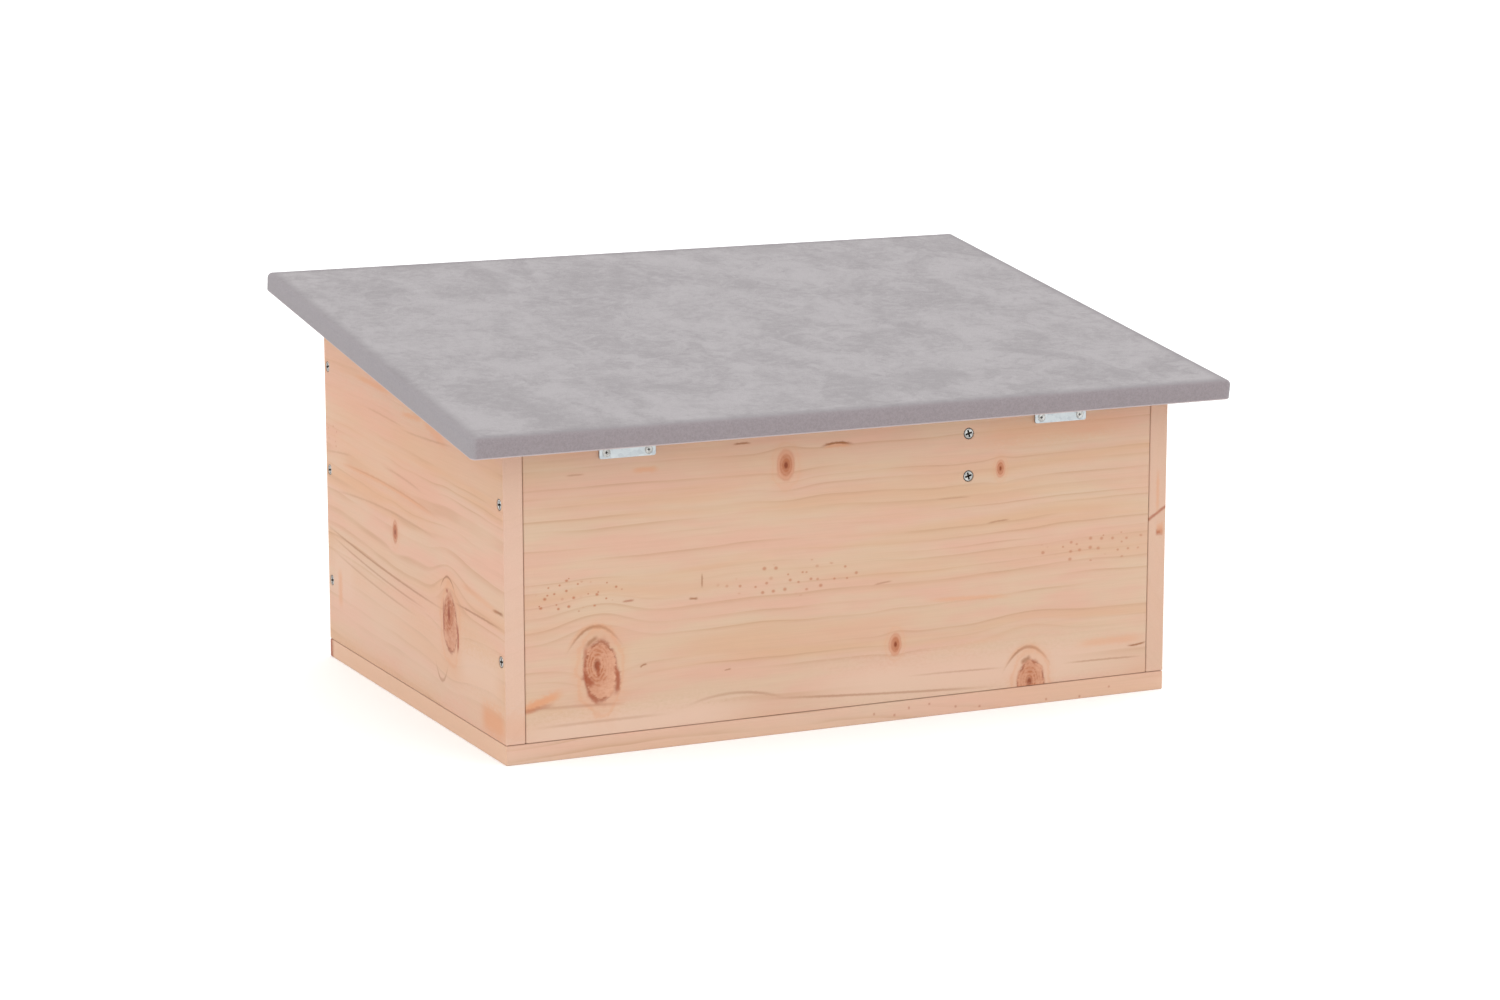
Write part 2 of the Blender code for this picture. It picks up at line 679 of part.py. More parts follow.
def main():
    """Builds the house and its lid."""
    clear_scene()
    house = add_empty("house", (0, 0, 0))
    lid = add_empty("lid_axis", (0, AXIS_Y, AXIS_Z), (-SLOPE, 0, 0))
    boards = add_box(house)
    roof_board = add_roof(lid)
    wood_places = side_places() + divider_places() + base_places()
    add_screws("wood", WOOD_SCREW, wood_places, house, boards.values())
    add_hinges(house, lid, boards["back_panel"], roof_board)


main()
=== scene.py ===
import json
import logging
import math
from dataclasses import dataclass, field
from enum import Enum
from functools import partialmethod

import bmesh
import bpy
import numpy as np
from mathutils import Matrix, Vector


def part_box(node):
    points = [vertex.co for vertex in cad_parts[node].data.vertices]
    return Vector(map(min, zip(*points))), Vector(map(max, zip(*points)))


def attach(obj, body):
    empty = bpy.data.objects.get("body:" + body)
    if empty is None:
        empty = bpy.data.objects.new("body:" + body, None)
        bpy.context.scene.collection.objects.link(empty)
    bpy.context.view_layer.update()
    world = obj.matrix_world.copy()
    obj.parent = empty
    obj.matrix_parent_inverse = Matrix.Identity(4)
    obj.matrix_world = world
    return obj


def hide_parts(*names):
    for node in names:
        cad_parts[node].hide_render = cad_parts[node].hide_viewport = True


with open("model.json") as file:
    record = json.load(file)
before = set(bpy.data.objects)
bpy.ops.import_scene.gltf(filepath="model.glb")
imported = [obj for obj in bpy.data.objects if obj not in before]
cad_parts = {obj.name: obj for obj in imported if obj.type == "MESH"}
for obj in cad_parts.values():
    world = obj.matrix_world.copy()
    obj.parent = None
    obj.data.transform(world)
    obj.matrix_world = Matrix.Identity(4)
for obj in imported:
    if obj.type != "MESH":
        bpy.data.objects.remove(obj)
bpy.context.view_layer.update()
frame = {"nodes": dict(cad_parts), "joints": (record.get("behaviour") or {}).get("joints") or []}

MM = 0.001
PHOTO_WIDTH = 1500
FOCAL_PIXELS = 3722.988
SENSOR_WIDTH = 36.0
NOISE_MIDDLE = 0.5
BAND_CORE = 0.02
WELD = 0.002 * MM
SHEET_WELD = 0.01 * MM
SOFT_SHARP = 40
METAL_SHARP = 32
SCREW_SHARP = 28
GOLDEN_SHARE = 0.75
BAND_SHARE = 0.22
GLOW_SHARE = 0.22
END_SHARE = 0.8
FIBRE_LIGHT = (0.978, 1.018)
FIGURE_STEP = 211.0
KNOT_STEP = 97
LOG = logging.getLogger("hedgehog_house")


class Body(Enum):
    """The two rigid bodies of the house."""

    HOUSE = "house"
    LID = "lid"


class Slot(Enum):
    """The names of the record's material slots that match the new pieces' finishes."""

    FELT = "mineral_felt"
    ZINC = "zinc"
    STEEL = "screw_steel"


class Lay(Enum):
    """How a board lies: the axes along, across and through its grain, which on the roof are the lid's own."""

    LONG_WALL = "XZY"
    SIDE_WALL = "YZX"
    FLOOR = "XYZ"
    ROOF = "XYZ, sloping"


class Hue(Enum):
    """The colours that a streak in the wood can have."""

    PITCH = "pitch"
    ORANGE = "orange"
    RED = "red"
    PALE = "pale"


@dataclass(frozen=True)
class LidFrame:
    """The frame of the lid: its origin lies on the hinge axis, its Y runs down the roof to the back.

    Attributes:
        origin: A point on the hinge axis, in metres.
        slope: The roof's fall from the front to the back, in radians.
    """

    origin: Vector
    slope: float

    @staticmethod
    def from_frame() -> "LidFrame":
        """Reads the hinge axis and the slope of the walls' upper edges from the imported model.

        Returns:
            The lid's frame at rest.
        """
        joint = frame["joints"][0]
        back_inner, back_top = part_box("back_panel")[0].y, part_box("back_panel")[1].z
        front_outer, front_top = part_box("front_panel")[0].y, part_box("front_panel")[1].z
        slope = math.atan2(front_top - back_top, back_inner - front_outer)
        return LidFrame(Vector(joint["pos_m"]), slope)

    def matrix(self) -> Matrix:
        """The matrix from the lid's frame to the scene."""
        return Matrix.Translation(self.origin) @ Matrix.Rotation(-self.slope, 4, "X")


@dataclass(frozen=True)
class Tint:
    """A colour as it shows on a screen, with eight bits a channel.

    Attributes:
        red: The red part, 0 to 255.
        green: The green part, 0 to 255.
        blue: The blue part, 0 to 255.
    """

    red: float
    green: float
    blue: float

    def lit(self, light: float = 1.0) -> tuple[float, float, float, float]:
        """The surface colour that shows as this tint.

        Args:
            light: The light that falls on the surface, where 1 shows a colour as it is.

        Returns:
            The linear colour with its alpha.
        """
        def linear(part: float) -> float:
            """The linear share of one channel."""
            share = part / 255
            return share / 12.92 if share <= 0.04045 else ((share + 0.055) / 1.055) ** 2.4
        return (*(linear(part) / light for part in (self.red, self.green, self.blue)), 1.0)


def floats(*labels: str) -> dict[str, str]:
    """Float sockets with these names."""
    return dict.fromkeys(labels, "Float")


class Graph:
    """A shader or geometry node tree that short calls fill."""

    def __init__(self, tree: bpy.types.NodeTree) -> None:
        """Starts on a tree.

        Args:
            tree: The tree that the nodes go into.
        """
        self.tree = tree

    @staticmethod
    def group(name: str, kind: str, inputs: dict,
              outputs: dict) -> tuple["Graph", bpy.types.Node, bpy.types.Node]:
        """Makes a node group with named sockets.

        Args:
            name: The group's name.
            kind: The tree type, for shaders or geometry.
            inputs: The socket type of each input.
            outputs: The socket type of each output.

        Returns:
            The graph, its input node and its output node.
        """
        tree = bpy.data.node_groups.new(name, kind)
        for side, sockets in (("INPUT", inputs), ("OUTPUT", outputs)):
            for label, socket in sockets.items():
                tree.interface.new_socket(label, in_out=side, socket_type="NodeSocket" + socket)
        graph = Graph(tree)
        return graph, graph.put("NodeGroupInput"), graph.put("NodeGroupOutput")

    def feed(self, socket: bpy.types.NodeSocket, value: object) -> None:
        """Links a socket to another one, or gives it a value.

        Args:
            socket: The input socket.
            value: An output socket or a plain value.
        """
        if isinstance(value, bpy.types.NodeSocket):
            self.tree.links.new(value, socket)
        else:
            socket.default_value = value

    def put(self, kind: str, inputs: dict | None = None, **settings: object) -> bpy.types.Node:
        """Adds a node.

        Args:
            kind: The node's type.
            inputs: What goes into each input, by name or index.
            settings: The node's own properties.

        Returns:
            The new node.
        """
        node = self.tree.nodes.new(kind)
        for label, value in settings.items():
            setattr(node, label, value)
        return self.fill(node, inputs or {})

    def fill(self, node: bpy.types.Node, inputs: dict) -> bpy.types.Node:
        """Feeds a node.

        Args:
            node: The node.
            inputs: What goes into each input, by name or index.

        Returns:
            The same node.
        """
        for key, value in inputs.items():
            self.feed(node.inputs[key], value)
        return node

    def close(self, out: bpy.types.Node, results: dict) -> bpy.types.NodeTree:
        """Feeds a group's results to its output node and returns its tree."""
        self.fill(out, results)
        return self.tree

    def math(self, operation: str, *values: object, clamp: bool = False) -> bpy.types.NodeSocket:
        """Adds a Math node.

        Args:
            operation: The operation's name.
            values: Sockets or numbers.
            clamp: Whether the result stays between 0 and 1.

        Returns:
            The result's socket.
        """
        node = self.put("ShaderNodeMath", dict(enumerate(values)), operation=operation, use_clamp=clamp)
        return node.outputs[0]

    times = partialmethod(math, "MULTIPLY")
    over = partialmethod(math, "DIVIDE")
    plus = partialmethod(math, "ADD")
    minus = partialmethod(math, "SUBTRACT")
    fuse = partialmethod(math, "MULTIPLY_ADD")
    size = partialmethod(math, "ABSOLUTE")

    def vector(self, operation: str, *values: object) -> bpy.types.NodeSocket:
        """Adds a Vector Math node.

        Args:
            operation: The operation's name.
            values: Sockets or vectors.

        Returns:
            The result's socket, a number for LENGTH and DOT_PRODUCT.
        """
        node = self.put("ShaderNodeVectorMath", operation=operation)
        for index, value in enumerate(values):
            self.feed(node.inputs["Scale" if operation == "SCALE" and index else index], value)
        return node.outputs["Value" if operation in ("LENGTH", "DOT_PRODUCT") else "Vector"]

    def parts(self, vector: bpy.types.NodeSocket) -> tuple[bpy.types.NodeSocket, ...]:
        """The three parts of a vector socket."""
        return tuple(self.put("ShaderNodeSeparateXYZ", {0: vector}).outputs)

    def join(self, *parts: object) -> bpy.types.NodeSocket:
        """A vector from three sockets or numbers."""
        return self.put("ShaderNodeCombineXYZ", dict(enumerate(parts))).outputs[0]

    def step(self, value: object, low: float, high: float, to_low: float = 0.0,
             to_high: float = 1.0) -> bpy.types.NodeSocket:
        """Adds a smooth step.

        Args:
            value: The socket to map.
            low: Where the step starts.
            high: Where it ends; a start above the end turns the step round.
            to_low: The result at the start.
            to_high: The result at the end.

        Returns:
            The result's socket.
        """
        if low > high:
            low, high, to_low, to_high = high, low, to_high, to_low
        node = self.put("ShaderNodeMapRange", {0: value, 1: low, 2: high, 3: to_low, 4: to_high},
                        interpolation_type="SMOOTHSTEP")
        return node.outputs[0]

    def band(self, value: object, middle: float, half: float, low: float = 0.0,
             high: float = 1.0) -> bpy.types.NodeSocket:
        """Adds a band round a value.

        Args:
            value: The socket to map.
            middle: Where the band's middle is.
            half: Its half width.
            low: The result outside it.
            high: The result at its middle.

        Returns:
            The result's socket.
        """
        return self.step(self.size(self.minus(value, middle)), half, BAND_CORE, low, high)

    def bump(self, strength: float, distance: float, height: object) -> bpy.types.NodeSocket:
        """A normal that is bumped by a height over a distance in millimetres."""
        inputs = {"Strength": strength, "Distance": distance * MM, "Height": height}
        return self.put("ShaderNodeBump", inputs).outputs[0]

    def attribute(self, name: str) -> bpy.types.NodeSocket:
        """The value of a mesh's own attribute."""
        return self.put("ShaderNodeAttribute", attribute_name=name).outputs["Fac"]

    def in_lid(self, place: object, lid: LidFrame) -> bpy.types.NodeSocket:
        """The coordinates turned so that the roof lies level."""
        inputs = {"Vector": place, "Center": lid.origin, "Angle": lid.slope}
        return self.put("ShaderNodeVectorRotate", inputs, rotation_type="X_AXIS").outputs[0]

    def noise(self, place: object, scale: object = 1.0, detail: float = 2.0, rough: float = 0.5,
              warp: float = 0.0) -> bpy.types.NodeSocket:
        """Adds a noise texture.

        Args:
            place: The coordinates.
            scale: The scale, or one scale for each axis.
            detail: The number of octaves.
            rough: The share of each further octave.
            warp: The distortion.

        Returns:
            The noise from 0 to 1, mostly near 0.5.
        """
        if isinstance(scale, tuple):
            place, scale = self.vector("MULTIPLY", place, scale), 1.0
        return self.put("ShaderNodeTexNoise", {"Vector": place, "Scale": scale, "Detail": detail,
                                               "Roughness": rough, "Distortion": warp}).outputs["Fac"]

    def blend(self, share: object, low: object, high: object) -> bpy.types.NodeSocket:
        """Mixes two colours.

        Args:
            share: How much of the second colour.
            low: The first colour.
            high: The second colour.

        Returns:
            The mixed colour.
        """
        return self.put("ShaderNodeMix", {0: share, 6: low, 7: high}, data_type="RGBA").outputs[2]

    def use(self, tree: bpy.types.NodeTree, inputs: dict) -> bpy.types.bpy_prop_collection:
        """Places a shader group with its own inputs, and returns its outputs."""
        return self.put("ShaderNodeGroup", inputs, node_tree=tree).outputs

    def wire(self, path: object, sides: int, radius: object) -> bpy.types.NodeSocket:
        """Sweeps a small circle along a curve.

        Args:
            path: The curve.
            sides: The number of faces round it.
            radius: The circle's radius.

        Returns:
            The mesh's socket.
        """
        circle = self.put("GeometryNodeCurvePrimitiveCircle", {"Resolution": sides, "Radius": radius})
        inputs = {"Curve": path, "Profile Curve": circle.outputs[0], "Fill Caps": True}
        return self.put("GeometryNodeCurveToMesh", inputs).outputs[0]

    def realized(self, out: bpy.types.Node, points: object, instance: object, rotation: object,
                 finish: object) -> bpy.types.NodeTree:
        """Ends a geometry tree: sets real copies of a shape on points and gives them their material.

        Args:
            out: The tree's output node.
            points: The points.
            instance: The shape.
            rotation: How each copy is turned.
            finish: The material.

        Returns:
            The tree.
        """
        inputs = {"Points": points, "Instance": instance, "Rotation": rotation}
        copies = self.put("GeometryNodeInstanceOnPoints", inputs).outputs[0]
        real = self.put("GeometryNodeRealizeInstances", {0: copies}).outputs[0]
        ready = self.put("GeometryNodeSetMaterial", {"Geometry": real, "Material": finish}).outputs[0]
        return self.close(out, {0: ready})


def new_material(name: str) -> tuple[bpy.types.Material, Graph, bpy.types.Node]:
    """Starts a material.

    Args:
        name: Its name.

    Returns:
        The material, its graph and its Principled node.
    """
    made = bpy.data.materials.new(name)
    made.use_nodes = True
    return made, Graph(made.node_tree), made.node_tree.nodes["Principled BSDF"]


class PineEffects:
    """The shader groups that every pine board shares. Lengths in them are millimetres."""

    def __init__(self) -> None:
        """Builds each group once."""
        self.knot = self._knot()
        self.figure = self._figure()
        self.streak = self._streak()
        self.specks = self._specks()

    @staticmethod
    def _knot() -> bpy.types.NodeTree:
        """Builds the group of one knot, which bends the growth rings and covers them.

        Returns:
            The node group.
        """
        graph, given, out = Graph.group(
            "pine_knot", "ShaderNodeTree",
            {"Place": "Vector", "Centre": "Vector", "Reach": "Vector", "Heart": "Vector", "Lean": "Vector",
             **floats("Pull", "Rise", "Dark", "Rim", "Soft", "Rings", "Coarse", "Fine", "Bend", "Lift"),
             "Pale": "Color", "Brown": "Color", "Deep": "Color"},
            {**floats("Bend", "Lift", "Core", "Glow"), "Color": "Color"})
        give = given.outputs
        depth = graph.parts(give["Place"])[2]
        lean = graph.vector("SCALE", give["Lean"], depth)
        moved = graph.vector("SUBTRACT", graph.vector("SUBTRACT", give["Place"], give["Centre"]), lean)
        flat = graph.vector("MULTIPLY", moved, (1, 1, 0))
        shape = graph.vector("DIVIDE", flat, give["Reach"])
        coarse = graph.minus(give["Coarse"], NOISE_MIDDLE)
        fine = graph.minus(give["Fine"], NOISE_MIDDLE)
        swell = graph.fuse(coarse, 0.55, graph.fuse(fine, 0.24, 1.0))
        far = graph.times(graph.vector("LENGTH", shape), swell)
        across = graph.parts(flat)[1]
        across = graph.math("MAXIMUM", across, graph.times(across, 0.4))
        wide = graph.vector("MULTIPLY", shape, (0.46, 0.58, 0))
        fall = graph.math("EXPONENT", graph.times(graph.vector("DOT_PRODUCT", wide, wide), -1))
        pulled = graph.times(fall, give["Pull"])
        bend = graph.fuse(across, pulled, give["Bend"])
        lift = graph.fuse(give["Rise"], fall, give["Lift"])
        width = graph.fuse(give["Soft"], 0.18, 0.16)
        core = graph.step(graph.over(graph.minus(1.05, far), width), 0.0, 1.0)
        patchy = graph.step(graph.fuse(fine, 0.5, coarse), -0.04, 0.07)
        rim = graph.band(far, 0.93, 0.12)
        rim = graph.times(rim, graph.fuse(patchy, 0.8, 0.2))
        rim = graph.times(rim, give["Rim"])
        rim = graph.times(rim, graph.minus(1.0, give["Soft"]))
        from_heart = graph.vector("SUBTRACT", shape, graph.vector("DIVIDE", give["Heart"], give["Reach"]))
        near = graph.times(graph.vector("LENGTH", from_heart), swell)
        turns = graph.times(near, graph.times(give["Rings"], math.tau))
        rings = graph.step(graph.math("SINE", turns), -0.6, 1.0)
        rings = graph.times(rings, graph.step(near, 1.0, 0.2, 0.1, 1.0))
        rings = graph.times(rings, graph.step(graph.plus(coarse, fine), -0.12, 0.12, 0.25, 1.0))
        mottle = graph.step(fine, -0.14, 0.16)
        toned = graph.fuse(rings, 0.50, graph.times(mottle, 0.22))
        toned = graph.plus(toned, graph.step(coarse, -0.10, 0.08, 0.0, 0.22))
        toned = graph.plus(toned, graph.step(near, 1.15, 0.3, 0.0, 0.30))
        toned = graph.times(toned, graph.fuse(give["Soft"], -0.6, 1.0))
        outline = graph.band(far, 0.84, 0.13, 0.06, 0.30)
        inner = graph.band(near, 0.54, 0.11, 0.0, 0.20)
        inward = graph.plus(graph.plus(inner, outline), graph.step(near, 0.80, 0.22, 0.0, 0.62))
        toned = graph.fuse(inward, give["Soft"], toned)
        toned = graph.times(toned, give["Dark"], clamp=True)
        color = graph.blend(toned, give["Pale"], give["Brown"])
        reach = graph.fuse(give["Soft"], 0.06, 0.24)
        heart = graph.step(graph.over(near, reach), 1.0, 0.3)
        heart = graph.times(heart, graph.step(fine, -0.25, 0.0, 0.6, 1.0))
        deep = graph.math("MAXIMUM", rim, graph.times(heart, give["Dark"]))
        color = graph.blend(deep, color, give["Deep"])
        halo = graph.band(far, 1.28, 0.14, 0.0, 0.9)
        glow = graph.minus(graph.plus(graph.step(far, 2.0, 0.95), halo), core)
        glow = graph.times(graph.math("MAXIMUM", glow, 0.0), graph.fuse(give["Soft"], -0.5, 1.0))
        return graph.close(out, {"Bend": bend, "Lift": lift, "Core": core, "Glow": glow, "Color": color})

    @staticmethod
    def _figure() -> bpy.types.NodeTree:
        """Builds the group of the growth rings, cut through by the board's faces.

        Returns:
            The node group.
        """
        graph, given, out = Graph.group(
            "pine_figure", "ShaderNodeTree",
            {"Place": "Vector", **floats("Bend", "Lift"), "Pith": "Vector",
             **floats("Tilt", "Spacing", "Wave", "Seed")},
            floats("Line", "Band", "Tone", "Warm", "Fibre"))
        give = given.outputs
        place = graph.vector("ADD", give["Place"], graph.join(0, 0, graph.times(give["Seed"], FIGURE_STEP)))
        along, across, through = graph.parts(give["Place"])
        slow = graph.minus(graph.noise(place, (0.0055, 0.010, 0.010), 1), NOISE_MIDDLE)
        quick = graph.minus(graph.noise(place, (0.022, 0.045, 0.045), 1), NOISE_MIDDLE)
        wave = graph.times(graph.fuse(quick, 0.26, slow), give["Wave"])
        pith = graph.parts(give["Pith"])
        level = graph.minus(graph.minus(across, give["Bend"]), pith[1])
        level = graph.plus(graph.fuse(along, give["Tilt"], level), wave)
        deep = graph.minus(through, pith[2])
        radius = graph.vector("LENGTH", graph.join(level, deep, 0))
        uneven = graph.noise(graph.join(radius, give["Seed"], 0), (0.06, 3.7, 0), 1)
        rings = graph.fuse(uneven, 3.4, graph.over(radius, give["Spacing"]))
        rings = graph.plus(rings, give["Lift"])
        share = graph.math("FRACT", rings)
        number = graph.math("FLOOR", rings)
        drop = graph.step(share, 1.0, 0.93)
        line = graph.times(graph.math("POWER", graph.step(share, 0.62, 0.95), 1.4), drop)
        band = graph.times(graph.step(share, 0.10, 0.95), drop)
        spot = graph.join(along, graph.times(number, 37.0), give["Seed"])
        strength = graph.step(graph.noise(spot, (0.010, 0.61, 5.3), 2), 0.40, 0.70, 0.08, 1.0)
        tone = graph.step(graph.noise(place, (0.012, 0.060, 0.060), 3, 0.6), 0.32, 0.68)
        layer = graph.join(graph.times(along, 0.0045), graph.times(rings, 0.42), give["Seed"])
        warm = graph.step(graph.noise(layer, 1.0, 2, 0.6), 0.42, 0.74)
        fibre = graph.noise(place, (0.030, 1.3, 1.3), 2, 0.6)
        return graph.close(out, {"Line": graph.times(line, strength), "Band": graph.times(band, strength),
                                 "Tone": tone, "Warm": warm, "Fibre": fibre})

    @staticmethod
    def _streak() -> bpy.types.NodeTree:
        """Builds the group of a pitch streak: a thin arched line that fades at its ends.

        Returns:
            The node group.
        """
        graph, given, out = Graph.group(
            "pitch_streak", "ShaderNodeTree",
            {"Place": "Vector", "Centre": "Vector", "Lean": "Vector",
             **floats("Turn", "Half Length", "Half Width", "Arch", "Slant", "Strength", "Fine")},
            floats("Mask"))
        give = given.outputs
        lean = graph.vector("SCALE", give["Lean"], graph.parts(give["Place"])[2])
        centre = graph.vector("ADD", give["Centre"], lean)
        moved = graph.vector("MULTIPLY", graph.vector("SUBTRACT", give["Place"], centre), (1, 1, 0))
        turned = graph.put("ShaderNodeVectorRotate", {"Vector": moved, "Angle": give["Turn"]},
                           rotation_type="Z_AXIS").outputs[0]
        along, across, _ = graph.parts(turned)
        signed = graph.over(along, give["Half Length"])
        share = graph.size(signed)
        arch = graph.times(give["Arch"], graph.minus(1.0, graph.times(share, share)))
        off = graph.size(graph.minus(across, arch))
        edge = graph.times(give["Half Width"], graph.fuse(give["Fine"], 1.8, 0.2))
        body = graph.step(graph.over(off, edge), 1.0, 0.1)
        ends = graph.step(share, 1.0, 0.4)
        even = graph.fuse(graph.size(give["Slant"]), -0.5, 1.0)
        even = graph.fuse(graph.times(give["Slant"], 0.5), signed, even)
        mask = graph.times(graph.times(body, ends), graph.times(even, give["Strength"]), clamp=True)
        return graph.close(out, {"Mask": mask})

    @staticmethod
    def _specks() -> bpy.types.NodeTree:
        """Builds the group of the small resin specks that lie in a band along the grain.

        Returns:
            The node group.
        """
        graph, given, out = Graph.group(
            "resin_specks", "ShaderNodeTree",
            {"Place": "Vector", "Centre": "Vector", "Reach": "Vector", **floats("Cell", "Strength")},
            floats("Mask"))
        give = given.outputs
        off = graph.vector("DIVIDE", graph.vector("SUBTRACT", give["Place"], give["Centre"]), give["Reach"])
        band = graph.step(graph.vector("LENGTH", graph.vector("MULTIPLY", off, (1, 1, 0))), 1.1, 0.6)
        cells = graph.vector("SCALE", give["Place"], graph.over(1.0, give["Cell"]))
        cells = graph.vector("MULTIPLY", cells, (0.85, 1.0, 1.0))
        dots = graph.put("ShaderNodeTexVoronoi", {"Vector": cells, "Scale": 1.0, "Randomness": 0.9},
                         voronoi_dimensions="2D")
        chance, grow, _ = graph.parts(dots.outputs["Color"])
        size = graph.fuse(grow, 0.14, 0.13)
        shown = graph.step(graph.minus(band, chance), 0.0, 0.3)
        dot = graph.step(graph.over(dots.outputs["Distance"], size), 1.0, 0.2)
        mask = graph.times(dot, graph.times(shown, give["Strength"]), clamp=True)
        return graph.close(out, {"Mask": mask})


@dataclass(frozen=True)
class Knot:
    """A knot in a board. Lengths are millimetres on the board's face.

    Attributes:
        at: Its centre, along and across the grain.
        reach: Its half length along the grain and half height across it.
        heart: Where its pith lies from the centre.
        dark: How dark its wood is, 0 to 1.
        rim: How dark its rim is, 0 to 1.
        rise: How many growth rings stand up round it.
        pull: How much of its height the rings bend round, 0 to 1.
        soft: How softly it ends, 0 for a hard rim to 1.
        ring: The distance between its own rings.
        lean: How far its centre moves for each millimetre through the board.
    """

    at: tuple[float, float]
    reach: tuple[float, float]
    heart: tuple[float, float] = (0.0, 0.0)
    dark: float = 0.9
    rim: float = 0.6
    rise: float = 0.3
    pull: float = 0.95
    soft: float = 0.0
    ring: float = 1.7
    lean: tuple[float, float] = (0.0, 0.0)

    @staticmethod
    def small(at: tuple[float, float], reach: tuple[float, float], dark: float = 1.0) -> "Knot":
        """A small knot with soft edges and a dark heart.

        Args:
            at: Its centre.
            reach: Its half length and half height.
            dark: How dark it is.

        Returns:
            The knot.
        """
        return Knot(at, reach, dark=dark, rise=0.1, pull=0.45, soft=1.0, ring=2.6)


@dataclass(frozen=True)
class Streak:
    """A dark or orange line in a board. Lengths are millimetres on the board's face.

    Attributes:
        at: Its middle, along and across the grain.
        half: Its half length and half width.
        arch: How far its middle stands above its ends.
        turn: Its angle to the grain, in degrees.
        strength: How much it covers, 0 to 1.
        hue: Its colour.
        slant: 1 where it is strongest at its far end along the grain, -1 at its near end, 0 for neither.
        lean: How far its middle moves for each millimetre through the board.
    """

    at: tuple[float, float]
    half: tuple[float, float]
    arch: float = 0.0
    turn: float = 0.0
    strength: float = 0.8
    hue: Hue = Hue.PITCH
    slant: float = 0.0
    lean: tuple[float, float] = (0.0, 0.0)


@dataclass(frozen=True)
class Specks:
    """A band of resin specks. Lengths are millimetres on the board's face.

    Attributes:
        at: The band's middle, along and across the grain.
        reach: Its half length and half height.
        cell: The mean distance from one speck to the next.
        strength: How dark the specks are, 0 to 1.
    """

    at: tuple[float, float]
    reach: tuple[float, float]
    cell: float = 4.2
    strength: float = 0.75


@dataclass(frozen=True)
class PineColors:
    """The colours of planed pine, as they show in even light.

    Attributes:
        light: The light that the tints are seen in.
        pale: Early wood.
        rosy: Early wood where the board is warmer.
        golden: Early wood in the bands that are richer in resin.
        end: The end grain.
        late: The lines of late wood.
        orange: Resinous wood round knots and in streaks.
        knot: The pale wood of a knot.
        brown: The brown wood of a knot.
        deep: A knot's rim and heart.
        pitch: Pitch streaks and specks.
        red: The reddest pitch, at the rims of knots.
        bleached: The palest early wood.
    """

    light: float = 1.24
    pale: Tint = Tint(215, 185, 158)
    rosy: Tint = Tint(219, 176, 153)
    golden: Tint = Tint(214, 172, 138)
    end: Tint = Tint(217, 180, 157)
    late: Tint = Tint(190, 148, 112)
    orange: Tint = Tint(222, 156, 114)
    knot: Tint = Tint(222, 170, 140)
    brown: Tint = Tint(184, 114, 78)
    deep: Tint = Tint(140, 66, 34)
    pitch: Tint = Tint(152, 98, 58)
    red: Tint = Tint(162, 80, 48)
    bleached: Tint = Tint(226, 193, 171)

    def of(self, hue: Hue) -> Tint:
        """The tint of a streak's hue."""
        tints = {Hue.PITCH: self.pitch, Hue.ORANGE: self.orange, Hue.RED: self.red, Hue.PALE: self.bleached}
        return tints[hue]


